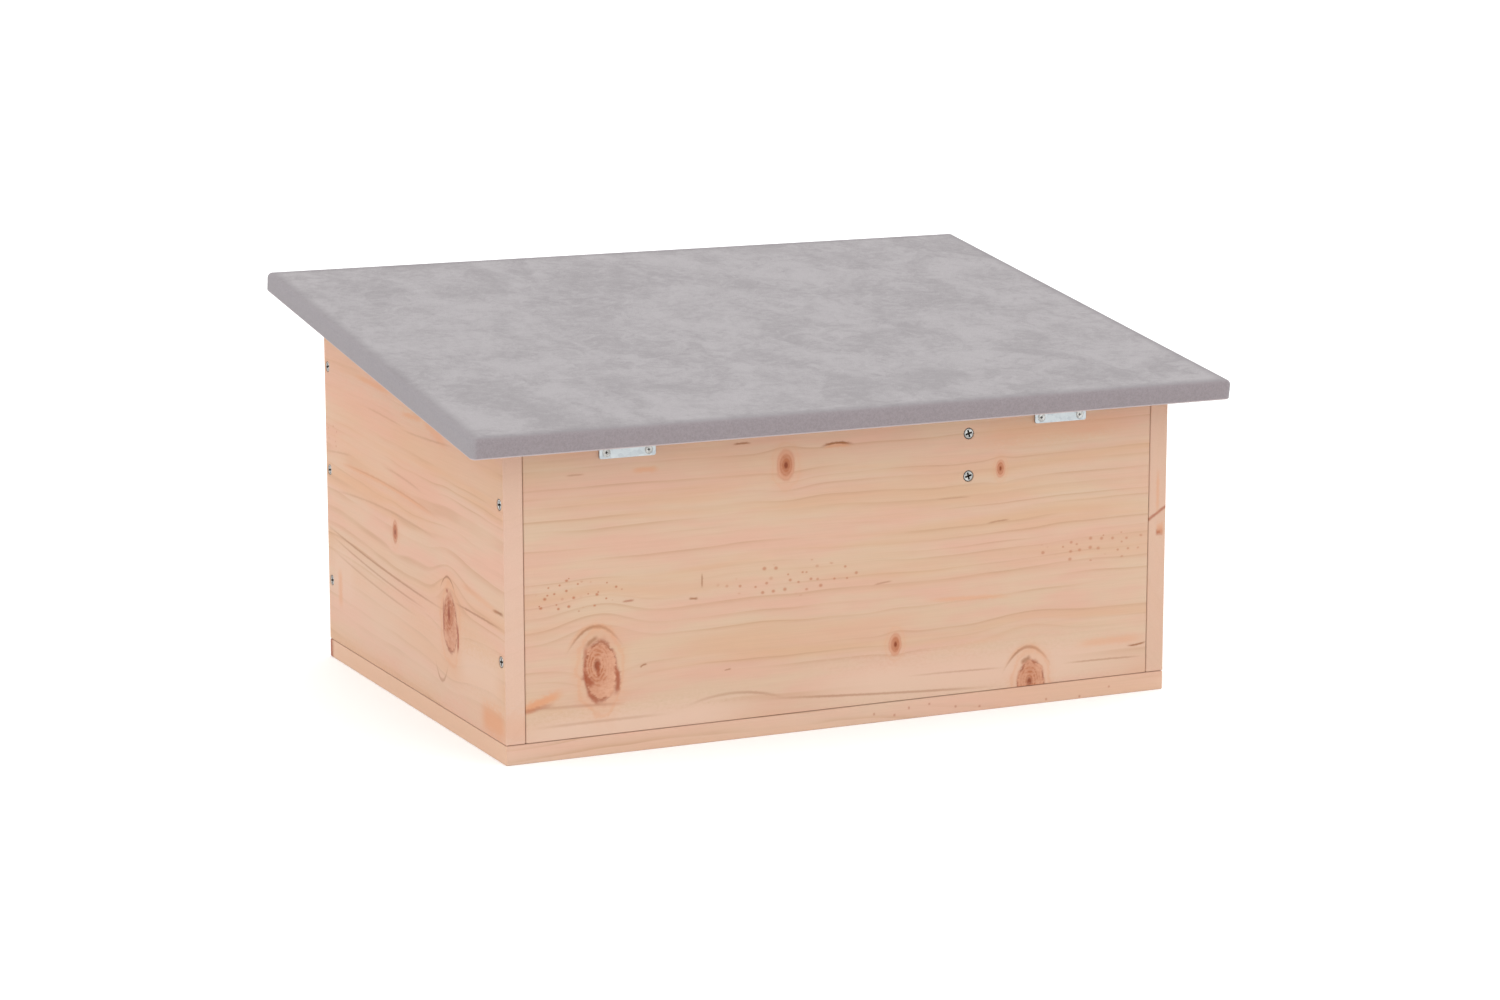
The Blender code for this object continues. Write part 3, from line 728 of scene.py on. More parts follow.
@dataclass(frozen=True)
class PineFinish:
    """The finish of one pine board.

    Attributes:
        name: The material's name.
        lay: How the board lies.
        pith: Where the tree's middle ran, across the grain and through the board, in millimetres.
        seed: The board's own number.
        spacing: The width of a growth ring in millimetres.
        tilt: How fast the rings rise along the board.
        wave: How far the rings sway, in millimetres.
        contrast: How much the late wood shows.
        half: Half the board's length along the grain, past which its end grain begins.
        knots: The board's knots.
        streaks: Its pitch streaks.
        specks: Its bands of resin specks.
        colors: The colours of the wood.
    """

    name: str
    lay: Lay
    pith: tuple[float, float]
    seed: float
    spacing: float = 5.0
    tilt: float = 0.0
    wave: float = 13.0
    contrast: float = 0.45
    half: float = 500.0
    knots: tuple[Knot, ...] = ()
    streaks: tuple[Streak, ...] = ()
    specks: tuple[Specks, ...] = ()
    colors: PineColors = field(default_factory=PineColors)

    def _place(self, graph: Graph, lid: LidFrame) -> bpy.types.NodeSocket:
        """Turns the object's coordinates into millimetres along, across and through the board.

        Args:
            graph: The material's graph.
            lid: The frame of the lid, which the roof board is turned by.

        Returns:
            The vector's socket.
        """
        place = graph.put("ShaderNodeTexCoord").outputs["Object"]
        if self.lay is Lay.ROOF:
            place = graph.in_lid(place, lid)
        parts = dict(zip("XYZ", graph.parts(graph.vector("SCALE", place, 1 / MM))))
        return graph.join(*(parts[axis] for axis in self.lay.value[:3]))

    def material(self, effects: PineEffects, lid: LidFrame) -> bpy.types.Material:
        """Builds the board's material.

        Args:
            effects: The shared groups.
            lid: The frame of the lid.

        Returns:
            The material.
        """
        tints, light = self.colors, self.colors.light
        made, graph, shader = new_material(self.name)
        place = self._place(graph, lid)
        coarse = graph.noise(graph.vector("ADD", place, (0, 0, KNOT_STEP * self.seed)), 0.11, 2)
        fine = graph.noise(place, (0.42, 0.62, 0.3), 3, 0.6)
        bend, lift, knots = 0.0, 0.0, []
        for knot in self.knots:
            given = graph.use(effects.knot, {
                "Place": place, "Centre": (*knot.at, 0), "Reach": (*knot.reach, 1), "Heart": (*knot.heart, 0),
                "Lean": (*knot.lean, 0), "Pull": knot.pull, "Rise": knot.rise, "Dark": knot.dark,
                "Rim": knot.rim, "Soft": knot.soft, "Rings": max(knot.reach) / knot.ring, "Coarse": coarse,
                "Fine": fine, "Bend": bend, "Lift": lift, "Pale": tints.knot.lit(light),
                "Brown": tints.brown.lit(light), "Deep": tints.deep.lit(light)})
            bend, lift = given["Bend"], given["Lift"]
            knots.append(given)
        figure = graph.use(effects.figure, {
            "Place": place, "Bend": bend, "Lift": lift, "Pith": (0, *self.pith), "Tilt": self.tilt,
            "Spacing": self.spacing, "Wave": self.wave, "Seed": self.seed})
        color = graph.blend(figure["Tone"], tints.pale.lit(light), tints.rosy.lit(light))
        color = graph.blend(graph.times(figure["Warm"], GOLDEN_SHARE), color, tints.golden.lit(light))
        late = graph.times(figure["Band"], self.contrast * BAND_SHARE)
        color = graph.blend(late, color, tints.late.lit(light))
        color = graph.blend(graph.times(figure["Line"], self.contrast), color, tints.late.lit(light))
        along = graph.size(graph.parts(place)[0])
        ends = graph.step(along, self.half - 0.5, self.half - 0.1, 0.0, END_SHARE)
        color = graph.blend(ends, color, tints.end.lit(light))
        fibre = graph.step(figure["Fibre"], 0.25, 0.75, *FIBRE_LIGHT)
        color = graph.vector("SCALE", color, fibre)
        masks = [(streak.hue, graph.use(effects.streak, {
            "Place": place, "Centre": (*streak.at, 0), "Lean": (*streak.lean, 0),
            "Turn": -math.radians(streak.turn), "Half Length": streak.half[0], "Half Width": streak.half[1],
            "Arch": streak.arch, "Slant": streak.slant, "Strength": streak.strength, "Fine": fine})["Mask"])
                 for streak in self.streaks]
        for hue, mask in masks:
            if hue is Hue.PALE:
                color = graph.blend(mask, color, tints.of(hue).lit(light))
        for knot in knots:
            color = graph.blend(graph.times(knot["Glow"], GLOW_SHARE), color, tints.orange.lit(light))
            color = graph.blend(knot["Core"], color, knot["Color"])
        for hue, mask in masks:
            if hue is not Hue.PALE:
                color = graph.blend(mask, color, tints.of(hue).lit(light))
        for band in self.specks:
            mask = graph.use(effects.specks, {
                "Place": place, "Centre": (*band.at, 0), "Reach": (*band.reach, 1), "Cell": band.cell,
                "Strength": band.strength})["Mask"]
            color = graph.blend(mask, color, tints.brown.lit(light))
        rough = graph.step(figure["Line"], 0.0, 1.0, 0.62, 0.5)
        normal = graph.bump(0.35, 0.12, graph.fuse(figure["Line"], 0.5, figure["Fibre"]))
        graph.fill(shader, {"Base Color": color, "Roughness": rough, "Normal": normal, "IOR": 1.45,
                            "Specular IOR Level": 0.35})
        return made


@dataclass(frozen=True)
class FeltFinish:
    """The finish of the mineral roofing felt: cloudy on the roof, granular on its edges.

    Attributes:
        light_top: The light that falls on the roof.
        light_side: The light that falls on its edges.
        pale: The light clouds of the roof.
        dark: The dark clouds.
        bend: The darker band along the bends.
        side: The edges.
        speck: The dark grains of the edges.
        flank: The sloping edges at the two ends, which are smoother.
        flank_speck: Their dark grains.
        hem_painted_light: The pale line of the lower bends, made lighter still as painted light that lifts
            the shade on their downward faces.
        ends: Where along the house those edges begin, in millimetres.
    """

    light_top: float = 1.36
    light_side: float = 1.20
    pale: Tint = Tint(185, 180, 182)
    dark: Tint = Tint(168, 163, 165)
    bend: Tint = Tint(152, 146, 149)
    side: Tint = Tint(157, 148, 151)
    speck: Tint = Tint(140, 131, 134)
    flank: Tint = Tint(166, 160, 163)
    flank_speck: Tint = Tint(152, 147, 150)
    hem_painted_light: Tint = Tint(202, 189, 190)
    ends: tuple[float, float] = (221.0, 224.6)

    def material(self, lid: LidFrame) -> bpy.types.Material:
        """Builds the material.

        Args:
            lid: The frame of the lid, which the pattern lies in.

        Returns:
            The material.
        """
        made, graph, shader = new_material("mineral_felt_granules")
        place = graph.in_lid(graph.put("ShaderNodeTexCoord").outputs["Object"], lid)
        place = graph.vector("SCALE", place, 1 / MM)
        clouds = graph.noise(place, (0.024, 0.018, 0.02), 4, 0.6, 0.8)
        brushed = graph.noise(place, (0.085, 0.095, 0.1), 5, 0.68, 1.4)
        fine = graph.noise(place, (0.32, 0.62, 0.5), 3, 0.65)
        cloud = graph.fuse(brushed, 0.52, graph.times(clouds, 0.66))
        cloud = graph.fuse(fine, 0.20, cloud)
        cloud = graph.step(cloud, 0.53, 0.83)
        top = graph.blend(cloud, self.dark.lit(self.light_top), self.pale.lit(self.light_top))
        edge = graph.attribute("edge")
        turned = graph.attribute("bend")
        top = graph.blend(graph.times(turned, 0.6), top, self.bend.lit(self.light_top))
        grains = graph.put("ShaderNodeTexVoronoi", {"Vector": place, "Scale": 1.15, "Randomness": 1.0})
        grain = graph.noise(place, (0.9, 0.9, 0.9), 3, 0.75)
        grainy, light = graph.step(grain, 0.32, 0.68), self.light_side
        side = graph.blend(grainy, self.side.lit(light), self.speck.lit(light))
        flank = graph.blend(grainy, self.flank.lit(light), self.flank_speck.lit(light))
        side = graph.blend(graph.step(graph.size(graph.parts(place)[0]), *self.ends), side, flank)
        color = graph.blend(edge, top, side)
        # Painted light: the lower bends take a paler colour that lifts the shade on their downward faces.
        color = graph.blend(graph.minus(edge, 1.0, clamp=True), color, self.hem_painted_light.lit(self.light_side))
        color = graph.vector("SCALE", color, graph.step(grain, 0.25, 0.75, 0.94, 1.06))
        rough = graph.step(cloud, 0.0, 1.0, 0.95, 0.85)
        dome = graph.step(grains.outputs["Distance"], 0.7, 0.0)
        normal = graph.bump(0.45, 0.25, graph.fuse(fine, 0.6, dome))
        graph.fill(shader, {"Base Color": color, "Roughness": rough, "Normal": normal,
                            "Specular IOR Level": 0.25})
        return made


@dataclass(frozen=True)
class MetalFinish:
    """The finish of plated steel.

    Attributes:
        name: The material's name.
        bright: The colour where the plating is bright.
        dull: The colour where it is dull.
        shade_tint: The colour of the painted shade in the screws' recesses and round their heads' rims.
        smooth: The roughness where it is bright.
        rough: The roughness where it is dull.
        grain: The size of the plating's patches, in millimetres.
    """

    name: str
    bright: Tint
    dull: Tint
    shade_tint: Tint
    smooth: float
    rough: float
    grain: float

    def material(self) -> bpy.types.Material:
        """Builds the material.

        Returns:
            The material.
        """
        made, graph, shader = new_material(self.name)
        place = graph.vector("SCALE", graph.put("ShaderNodeTexCoord").outputs["Object"], 1 / MM)
        patches = graph.put("ShaderNodeTexVoronoi", {"Vector": place, "Scale": 1 / self.grain})
        patch = graph.parts(patches.outputs["Color"])[0]
        brushed = graph.noise(place, (0.4, 3.2, 3.2), 3, 0.6)
        share = graph.fuse(brushed, 0.6, graph.times(patch, 0.4))
        share = graph.step(share, 0.25, 0.75)
        color = graph.blend(share, self.dull.lit(), self.bright.lit())
        # Painted shade: faces that the mesh marks take the shade colour, for the shade in screw recesses and
        # round their rims.
        color = graph.blend(graph.attribute("painted_shade"), color, self.shade_tint.lit())
        rough = graph.step(share, 0.0, 1.0, self.rough, self.smooth)
        normal = graph.bump(0.12, 0.03, brushed)
        graph.fill(shader, {"Base Color": color, "Roughness": rough, "Normal": normal, "Metallic": 1.0})
        return made


def new_piece(name: str, mesh: bpy.types.Mesh,
              material: bpy.types.Material | None = None) -> bpy.types.Object:
    """Links a mesh into the scene as a piece.

    Args:
        name: The piece's name.
        mesh: Its mesh, already in place.
        material: Its material.

    Returns:
        The object.
    """
    mesh.name = name
    if material is not None:
        mesh.materials.clear()
        mesh.materials.append(material)
    made = bpy.data.objects.new(name, mesh)
    bpy.context.scene.collection.objects.link(made)
    return made


def settle(piece: bpy.types.Object, body: Body, slot: Slot, *nodes: str) -> None:
    """Makes a finished piece ride on its body and stand for its CAD nodes.

    Args:
        piece: The piece.
        body: The body that carries it.
        slot: The record's slot that its finish belongs to; it is not used.
        nodes: The CAD nodes that it stands for.
    """
    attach(piece, body.value)
    if nodes:
        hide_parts(*nodes)
    LOG.info("%s: %d faces on %s", piece.name, len(piece.data.polygons), body.value)


def frozen(source: bpy.types.Object, name: str) -> bpy.types.Object:
    """Turns an object with modifiers into a plain piece, and removes the source.

    Args:
        source: The object with its modifiers.
        name: The new piece's name.

    Returns:
        The plain piece.
    """
    bpy.context.view_layer.update()
    ready = source.evaluated_get(bpy.context.evaluated_depsgraph_get())
    mesh = bpy.data.meshes.new_from_object(ready)
    bpy.data.objects.remove(source)
    return new_piece(name, mesh)


def shade(mesh: bpy.types.Mesh, angle: float) -> None:
    """Shades a mesh smooth, apart from edges that turn sharply.

    Args:
        mesh: The mesh.
        angle: The least angle of a sharp edge, in degrees.
    """
    mesh.shade_smooth()
    mesh.set_sharp_from_angle(angle=math.radians(angle))


BOARD_FINISHES: dict[str, PineFinish] = {
    "back_panel": PineFinish(
        "pine_back", Lay.LONG_WALL, (-5, 195), 1, spacing=5.6, tilt=0.008, wave=12,
        knots=(
            Knot((145.4, 45.5), (10.2, 18), (1.9, 3.2), rise=0.8, ring=2.7),
            Knot.small((37.4, 146.8), (6.2, 9.8)),
            Knot.small((-92.8, 134.9), (3.4, 5.8)),
            Knot.small((-28.9, 42.6), (4.4, 7.6)),
            Knot((-113.5, 11), (9.5, 15.5), (0.8, 2.2), rise=0.6, ring=2.7)),
        streaks=(
            Streak((149, 55.4), (17.5, 2.6), 14.6, strength=0.45, hue=Hue.ORANGE, slant=0.6),
            Streak((148, 54.4), (17.8, 1.35), 15.3, strength=0.75, slant=0.7),
            Streak((137.1, 39.5), (9, 2.2), 1.7, turn=90, strength=0.85, hue=Hue.RED),
            Streak((152.4, 41), (5.2, 3), turn=50, strength=0.85, hue=Hue.RED),
            Streak((153.2, 51), (11.5, 1.8), -0.9, turn=90, strength=0.5, hue=Hue.RED),
            Streak((150, 61.6), (4.8, 1.7), 0.5, turn=-35, strength=0.6),
            Streak((149.2, 31.8), (6.2, 1.8), -0.9, turn=50, strength=0.65, hue=Hue.RED),
            Streak((146.6, 46.5), (6, 1.4), turn=90, strength=0.7, hue=Hue.RED),
            Streak((128, 15), (92, 13), turn=-1, strength=0.95, hue=Hue.PALE),
            Streak((-74, 22), (128, 17), strength=0.75, hue=Hue.PALE),
            Streak((178.5, 31.4), (15, 3.6), 0.8, turn=-19, strength=0.95, hue=Hue.ORANGE, slant=0.3),
            Streak((181, 28.8), (11, 1.8), turn=-10, strength=0.6, hue=Hue.RED, slant=0.6),
            Streak((158, 27.3), (31, 1.2), 0.6, turn=2, strength=0.26),
            Streak((-111, 18.8), (17, 2.4), 14.4, strength=0.4, hue=Hue.ORANGE, slant=0.6),
            Streak((-111.5, 18), (17, 1.35), 15, strength=0.75, slant=0.7),
            Streak((-110.3, 25.6), (4.2, 1.7), 0.3, turn=-28, strength=0.65),
            Streak((63.2, 160.2), (6, 0.8), 0.3, strength=0.8),
            Streak((7, 154.4), (9.6, 1.7), 1.1, strength=0.6, hue=Hue.ORANGE),
            Streak((7, 154.9), (10.8, 0.95), 1.7, strength=0.95),
            Streak((-124, 155), (62, 9), strength=0.36, hue=Hue.ORANGE),
            Streak((119, 150.6), (9, 2.2), 0.3, strength=0.5, hue=Hue.ORANGE),
            Streak((158.8, 150.8), (6, 0.7), 0.2, strength=0.35),
            Streak((-92, 105.4), (8, 0.7), 0.3, turn=-4, strength=0.5),
            Streak((-64, 120.6), (12, 0.6), 0.2, strength=0.3),
            Streak((86.7, 88.6), (4.6, 0.8), turn=90, strength=0.6),
            Streak((129.2, 81.6), (4, 0.9), turn=-3, strength=0.6, hue=Hue.RED),
            Streak((91.7, 79.3), (3.2, 0.9), turn=4, strength=0.75),
            Streak((-21, 77.4), (6.5, 0.7), 0.2, turn=-6, strength=0.45),
            Streak((120.8, 45.9), (2.6, 0.8), 0.3, turn=-20, strength=0.75),
            Streak((71.8, 38.8), (2.4, 0.6), turn=-8, strength=0.6),
            Streak((-181.5, 28), (7, 0.8), -0.5, turn=-6, strength=0.85),
            Streak((-164, 31), (26, 3.4), 0.6, strength=0.35, hue=Hue.ORANGE),
            Streak((-75, 63.8), (30, 1.8), 0.4, turn=2, strength=0.4, hue=Hue.ORANGE),
            Streak((69, 19.2), (33, 1.2), 6.4, strength=0.5, slant=-0.7),
            Streak((-22, 16.6), (76, 1), -0.7, turn=3.2, strength=0.55, slant=0.3),
            Streak((145, 18.2), (44, 1.2), 0.3, strength=0.24),
            Streak((-65, 23.3), (34, 0.8), 0.3, turn=1.2, strength=0.4, slant=-0.6),
            Streak((-160, 20.8), (28, 0.8), 0.3, turn=1, strength=0.4)),
        specks=(
            Specks((157, 88), (32, 10), 4.6, 0.85),
            Specks((36, 85), (50, 11), 5.8, 0.7),
            Specks((-152, 86), (42, 9), 5.4, 0.6))),
    "side_panel_right": PineFinish(
        "pine_right_side", Lay.SIDE_WALL, (-8, 160), 2, spacing=7.6, tilt=0.03, contrast=0.64, half=140,
        colors=PineColors(
            light=1.22, end=Tint(220, 185, 165), pale=Tint(219, 184, 157), rosy=Tint(223, 176, 152),
            golden=Tint(218, 171, 134), late=Tint(194, 147, 108)),
        knots=(
            Knot((60.5, 59.5), (11, 17), (-1.8, 5.5), dark=1.25, rise=0.5, ring=2.6),
            Knot.small((-24.3, 94.8), (5.4, 7.2), 1.4)),
        streaks=(
            Streak((57.5, 74), (13.5, 0.9), 11, strength=0.7),
            Streak((70.4, 54), (9.5, 1.9), -1.6, turn=90, strength=0.9, hue=Hue.RED),
            Streak((51.2, 61.5), (12.5, 1.5), 1, turn=90, strength=0.65, hue=Hue.RED),
            Streak((58.6, 66.5), (9, 2.4), turn=90, strength=0.75, hue=Hue.RED),
            Streak((56.2, 77.3), (2.4, 1.6), strength=0.7, hue=Hue.RED),
            Streak((46.5, 38.5), (11, 1.6), -12.8, strength=0.42),
            Streak((-50, 140), (130, 42), turn=-3, strength=0.2, hue=Hue.ORANGE),
            Streak((-10, 36), (190, 34), strength=0.35, hue=Hue.PALE),
            Streak((104, 41), (40, 15), strength=0.6, hue=Hue.PALE),
            Streak((-113, 56), (22, 24), strength=0.4, hue=Hue.PALE),
            Streak((-57, 173), (34, 2.6), 0.4, turn=-2, strength=0.55, hue=Hue.ORANGE),
            Streak((6, 164), (20, 2.4), 0.4, turn=2, strength=0.6, hue=Hue.ORANGE),
            Streak((40, 161), (22, 4.4), turn=-14, strength=0.5, hue=Hue.ORANGE),
            Streak((27, 156), (44, 0.9), -0.6, turn=2, strength=0.36, slant=0.5),
            Streak((-39, 157.5), (34, 0.8), 0.3, turn=-2, strength=0.22),
            Streak((-117, 124.5), (24, 0.9), 0.3, turn=5, strength=0.22),
            Streak((-38, 115.8), (92, 1.8), 3.6, turn=-1.6, strength=0.5, hue=Hue.ORANGE),
            Streak((-34, 116.2), (90, 0.8), 3.6, turn=-1.6, strength=0.24),
            Streak((-12, 126.6), (36, 1), 1.2, turn=-4, strength=0.24),
            Streak((-45, 100.4), (100, 1), 4.8, turn=0.6, strength=0.24),
            Streak((-43, 72.5), (112, 0.9), -2.8, turn=-3.8, strength=0.66, slant=-0.3),
            Streak((-55, 67.5), (90, 0.9), -2.5, turn=-4.8, strength=0.4),
            Streak((-62, 60), (80, 1), -2, turn=-4.8, strength=0.28),
            Streak((102, 72.3), (37, 0.9), 0.2, turn=-0.8, strength=0.6),
            Streak((-119.5, 44.5), (14, 5), turn=90, strength=0.5, hue=Hue.ORANGE),
            Streak((131, 79.8), (9, 1.2), 0.3, strength=0.9),
            Streak((104, 82), (36, 3), 0.6, turn=-6, strength=0.35, hue=Hue.ORANGE),
            Streak((123, 20), (22, 12), strength=0.75, hue=Hue.ORANGE)),
        specks=(
            Specks((-128, 133), (14, 8), 5, 0.5),)),
    "side_panel_left": PineFinish(
        "pine_left_side", Lay.SIDE_WALL, (130, -310), 3, spacing=4.2, tilt=0.02, half=140,
        knots=(
            Knot((-62, 118), (6.5, 11.5), (0.8, 1), rise=0.5),
            Knot.small((20, 46), (3.6, 6.4))),
        streaks=(
            Streak((140, -19), (22, 1.5), strength=0.7, hue=Hue.RED, lean=(0, -0.625)),
            Streak((723, 90.8), (5, 1.3), strength=0.7, hue=Hue.RED, lean=(3, 0)),
            Streak((725, 91), (9, 3), strength=0.55, hue=Hue.RED, lean=(3, 0)),
            Streak((726, 93), (9, 5), strength=0.45, hue=Hue.ORANGE, lean=(3, 0)),
            Streak((720.5, 114), (15, 4.5), turn=90, strength=0.4, hue=Hue.ORANGE, lean=(3, 0)),
            Streak((-62, 126), (13, 0.7), 8.5, strength=0.6),
            Streak((-20, 150), (9, 0.7), 0.8, strength=0.7),
            Streak((70, 30), (20, 1.6), 0.5, strength=0.4, hue=Hue.ORANGE)),
        specks=(
            Specks((-10, 82), (50, 6), 5, 0.5),)),
    "front_panel": PineFinish(
        "pine_front", Lay.LONG_WALL, (60, -200), 4, spacing=6, tilt=-0.01,
        knots=(
            Knot((96, 128), (8.2, 13.5), (-1.2, 1), rise=0.6),
            Knot.small((-8, 58), (3.8, 7.4)),
            Knot.small((-140, 158), (4.6, 8.4)),
            Knot.small((165, 38), (3.4, 6.4))),
        streaks=(
            Streak((96, 137), (16, 0.7), 11, strength=0.6),
            Streak((40, 180), (9, 0.7), 0.8, strength=0.7),
            Streak((20, 96), (36, 1.6), 1, strength=0.35, hue=Hue.ORANGE)),
        specks=(
            Specks((60, 88), (55, 7), 5, 0.5),)),
    "divider_panel": PineFinish(
        "pine_divider", Lay.SIDE_WALL, (40, -20), 5, spacing=5.6, tilt=0.02,
        knots=(
            Knot((-70, 96), (5.5, 9.5), (0.8, 0), rise=0.5),
            Knot.small((40, 150), (3.4, 6))),
        streaks=(
            Streak((-30, 40), (20, 1.4), 0.8, strength=0.4, hue=Hue.ORANGE),),
        specks=(
            Specks((-40, 60), (40, 6), 5, 0.5),)),
    "base_board": PineFinish(
        "pine_base", Lay.FLOOR, (30, 90), 6, spacing=6.4, tilt=0.02, wave=16, half=199,
        # The end tint is lighter than on the other boards: painted light that lifts the shade on the base's
        # end faces near the floor.
        colors=PineColors(
            light=1.22, end=Tint(229, 188, 158), pale=Tint(220, 187, 163), rosy=Tint(224, 181, 159),
            golden=Tint(222, 182, 154)),
        knots=(
            Knot((110, -60), (9, 13), (1, 1), rise=0.6),
            Knot.small((-60, 70), (5, 8)),
            Knot.small((-150, -90), (3.6, 6))),
        streaks=(
            Streak((199, -139), (7, 5.5), strength=0.9, hue=Hue.RED),
            *(Streak((x, 140.0 - 4.0 * level), (0.9, 4), strength=0.42, hue=Hue.RED, lean=(0, 4))
              for x, level in ((-16, 4.9), (-28.5, 3.1), (-37.4, 6.1), (-50, 7), (-66.4, 3.9),
                               (-81.4, 2.4), (-123.6, 2), (-145, 1.2), (-164, 5))))),
    "roof_board": PineFinish(
        "pine_roof", Lay.ROOF, (30, 400), 7, spacing=4.8, tilt=-0.02, wave=16,
        knots=(
            Knot((120, 60), (8, 12), (1, 0), rise=0.6),
            Knot.small((-90, -20), (5, 8)),
            Knot((20, -110), (10, 14), (-1, 1), rise=0.6)),
        streaks=(
            Streak((60, 0), (30, 1.4), 1.2, strength=0.4, hue=Hue.ORANGE),)),
}


@dataclass
class Boards:
    """The seven pine boards, whose CAD shapes stay and get their wood here.

    Attributes:
        lid: The lid's frame, which the roof board's grain follows.
        effects: The shared shader groups.
        finishes: The finish of each board, by CAD node.
    """

    lid: LidFrame
    effects: PineEffects = field(default_factory=PineEffects)
    finishes: dict[str, PineFinish] = field(default_factory=lambda: BOARD_FINISHES)

    def dress(self) -> None:
        """Gives each board its own material."""
        for node, finish in self.finishes.items():
            board = frame["nodes"][node]
            made = finish.material(self.effects, self.lid)
            for place in board.material_slots:
                place.material = made
            LOG.info("%s: %s", node, made.name)


@dataclass
class FeltSkin:
    """The mineral felt that is folded round the roof board's four edges.

    Attributes:
        lid: The frame of the lid, which all lengths below lie in.
        half_length: Half the felt's length along the house.
        front: Where its front edge stands.
        back: Where its back edge stands.
        top: The height of its upper face.
        under: The height of its lower face.
        radius: The outer radius of its upper bends.
        fold: The outer radius of its lower bends.
        corner: The outer radius of its upright corners.
        thickness: The felt's thickness.
        flange: How far it reaches in under the board.
        back_flange: How far it reaches in at the back, where the hinges are.
        cell: The size of a face on its upper side.
        sway: How far the upper side is off a plane.
        flat_rim: How far in from the corners' radius the upper side's sway grows to its full height.
        bend_rim: How far in from there the darker band of the bends reaches.
        bend_steps: The number of faces round each bend.
        corner_steps: The number of faces round each upright corner.
        edge_rows: The number of faces up the straight part of the edge.
        edge_gain: How soon the edges' finish sets in along the upper bends, 1 for at their end.
        hem_light_gain: How soon the painted light of the lower bends sets in along them, 1 for at their end.
        flange_rows: Where the flange's rows of points lie, as shares of its width.
    """

    lid: LidFrame
    half_length: float = 225.0 * MM
    front: float = -311.2 * MM
    back: float = 21.44 * MM
    top: float = 12.35 * MM
    under: float = 1.27 * MM
    radius: float = 2.95 * MM
    fold: float = 1.1 * MM
    corner: float = 3.2 * MM
    thickness: float = 0.8 * MM
    flange: float = 14.0 * MM
    back_flange: float = 9.4 * MM
    cell: float = 2.6 * MM
    sway: float = 0.22 * MM
    flat_rim: float = 14.0 * MM
    bend_rim: float = 5.0 * MM
    bend_steps: int = 6
    corner_steps: int = 6
    edge_rows: int = 4
    edge_gain: float = 2.2
    hem_light_gain: float = 1.6
    flange_rows: tuple[float, ...] = (0.35, 0.7, 1.0)

    def _outline(self, inset: float) -> np.ndarray:
        """The felt's plan, inset from its edge, with points that match the upper side's grid.

        Args:
            inset: The distance from the outer edge.

        Returns:
            The points of the closed outline, anticlockwise from the front left corner.
        """
        round_off = max(self.corner - inset, 0.0)
        hard = self.corner if inset < self.corner else inset
        xs = np.linspace(-self.half_length + self.corner, self.half_length - self.corner, self.columns + 1)
        ys = np.linspace(self.front + self.corner, self.back - self.corner, self.rows + 1)
        xs = xs * (self.half_length - hard) / (self.half_length - self.corner)
        narrowing = (self.back_flange - self.fold) / (self.flange - self.fold)
        back_inset = hard if inset < self.corner else self.fold + (inset - self.fold) * narrowing
        low, high = self.front + hard, self.back - back_inset
        ys = low + (ys - ys[0]) * (high - low) / (ys[-1] - ys[0])
        points: list[tuple[float, float]] = []
        sides = ((xs, ys[0], 0, (0, -1)), (ys, xs[-1], 1, (1, 0)),
                 (xs[::-1], ys[-1], 0, (0, 1)), (ys[::-1], xs[0], 1, (-1, 0)))
        for number, (run, level, upright, out) in enumerate(sides):
            start_angle = -math.pi / 2 + number * math.pi / 2
            for value in run:
                point = (level, value) if upright else (value, level)
                points.append((point[0] + out[0] * round_off, point[1] + out[1] * round_off))
            last = (level, run[-1]) if upright else (run[-1], level)
            for step in range(1, self.corner_steps):
                angle = start_angle + (math.pi / 2) * step / self.corner_steps
                points.append((last[0] + math.cos(angle) * round_off, last[1] + math.sin(angle) * round_off))
        return np.array(points)

    @property
    def columns(self) -> int:
        """The number of faces along the upper side."""
        return round(2 * (self.half_length - self.corner) / self.cell)

    @property
    def rows(self) -> int:
        """The number of faces up the upper side."""
        return round((self.back - self.front - 2 * self.corner) / self.cell)

    def _profile(self) -> list[tuple[float, float, float, float]]:
        """The section of the fold, from the upper side's edge round to the flange's end.

        Returns:
            For each row its inset, its height, its share of edge, which is above 1 on the lower bends that
            carry painted light, and its share of bend.
        """
        rows = []
        for step in range(self.bend_steps + 1):
            angle = math.pi / 2 * step / self.bend_steps
            share = step / self.bend_steps
            rows.append((self.radius * (1 - math.sin(angle)), self.top - self.radius * (1 - math.cos(angle)),
                         min(1.0, self.edge_gain * share), 1.0 - share))
        straight = np.linspace(self.top - self.radius, self.under + self.fold, self.edge_rows + 1)[1:-1]
        rows.extend((0.0, float(height), 1.0, 0.0) for height in straight)
        # The lower bends get an edge share above 1, which the felt's material turns into painted light.
        for step in range(self.bend_steps + 1):
            angle = math.pi / 2 * step / self.bend_steps
            rows.append((self.fold * (1 - math.cos(angle)), self.under + self.fold * (1 - math.sin(angle)),
                         1.0 + min(1.0, self.hem_light_gain * math.sin(angle)), 0.0))
        for share in self.flange_rows:
            rows.append((self.fold + (self.flange - self.fold) * share, self.under, 1.0, 0.0))
        return rows

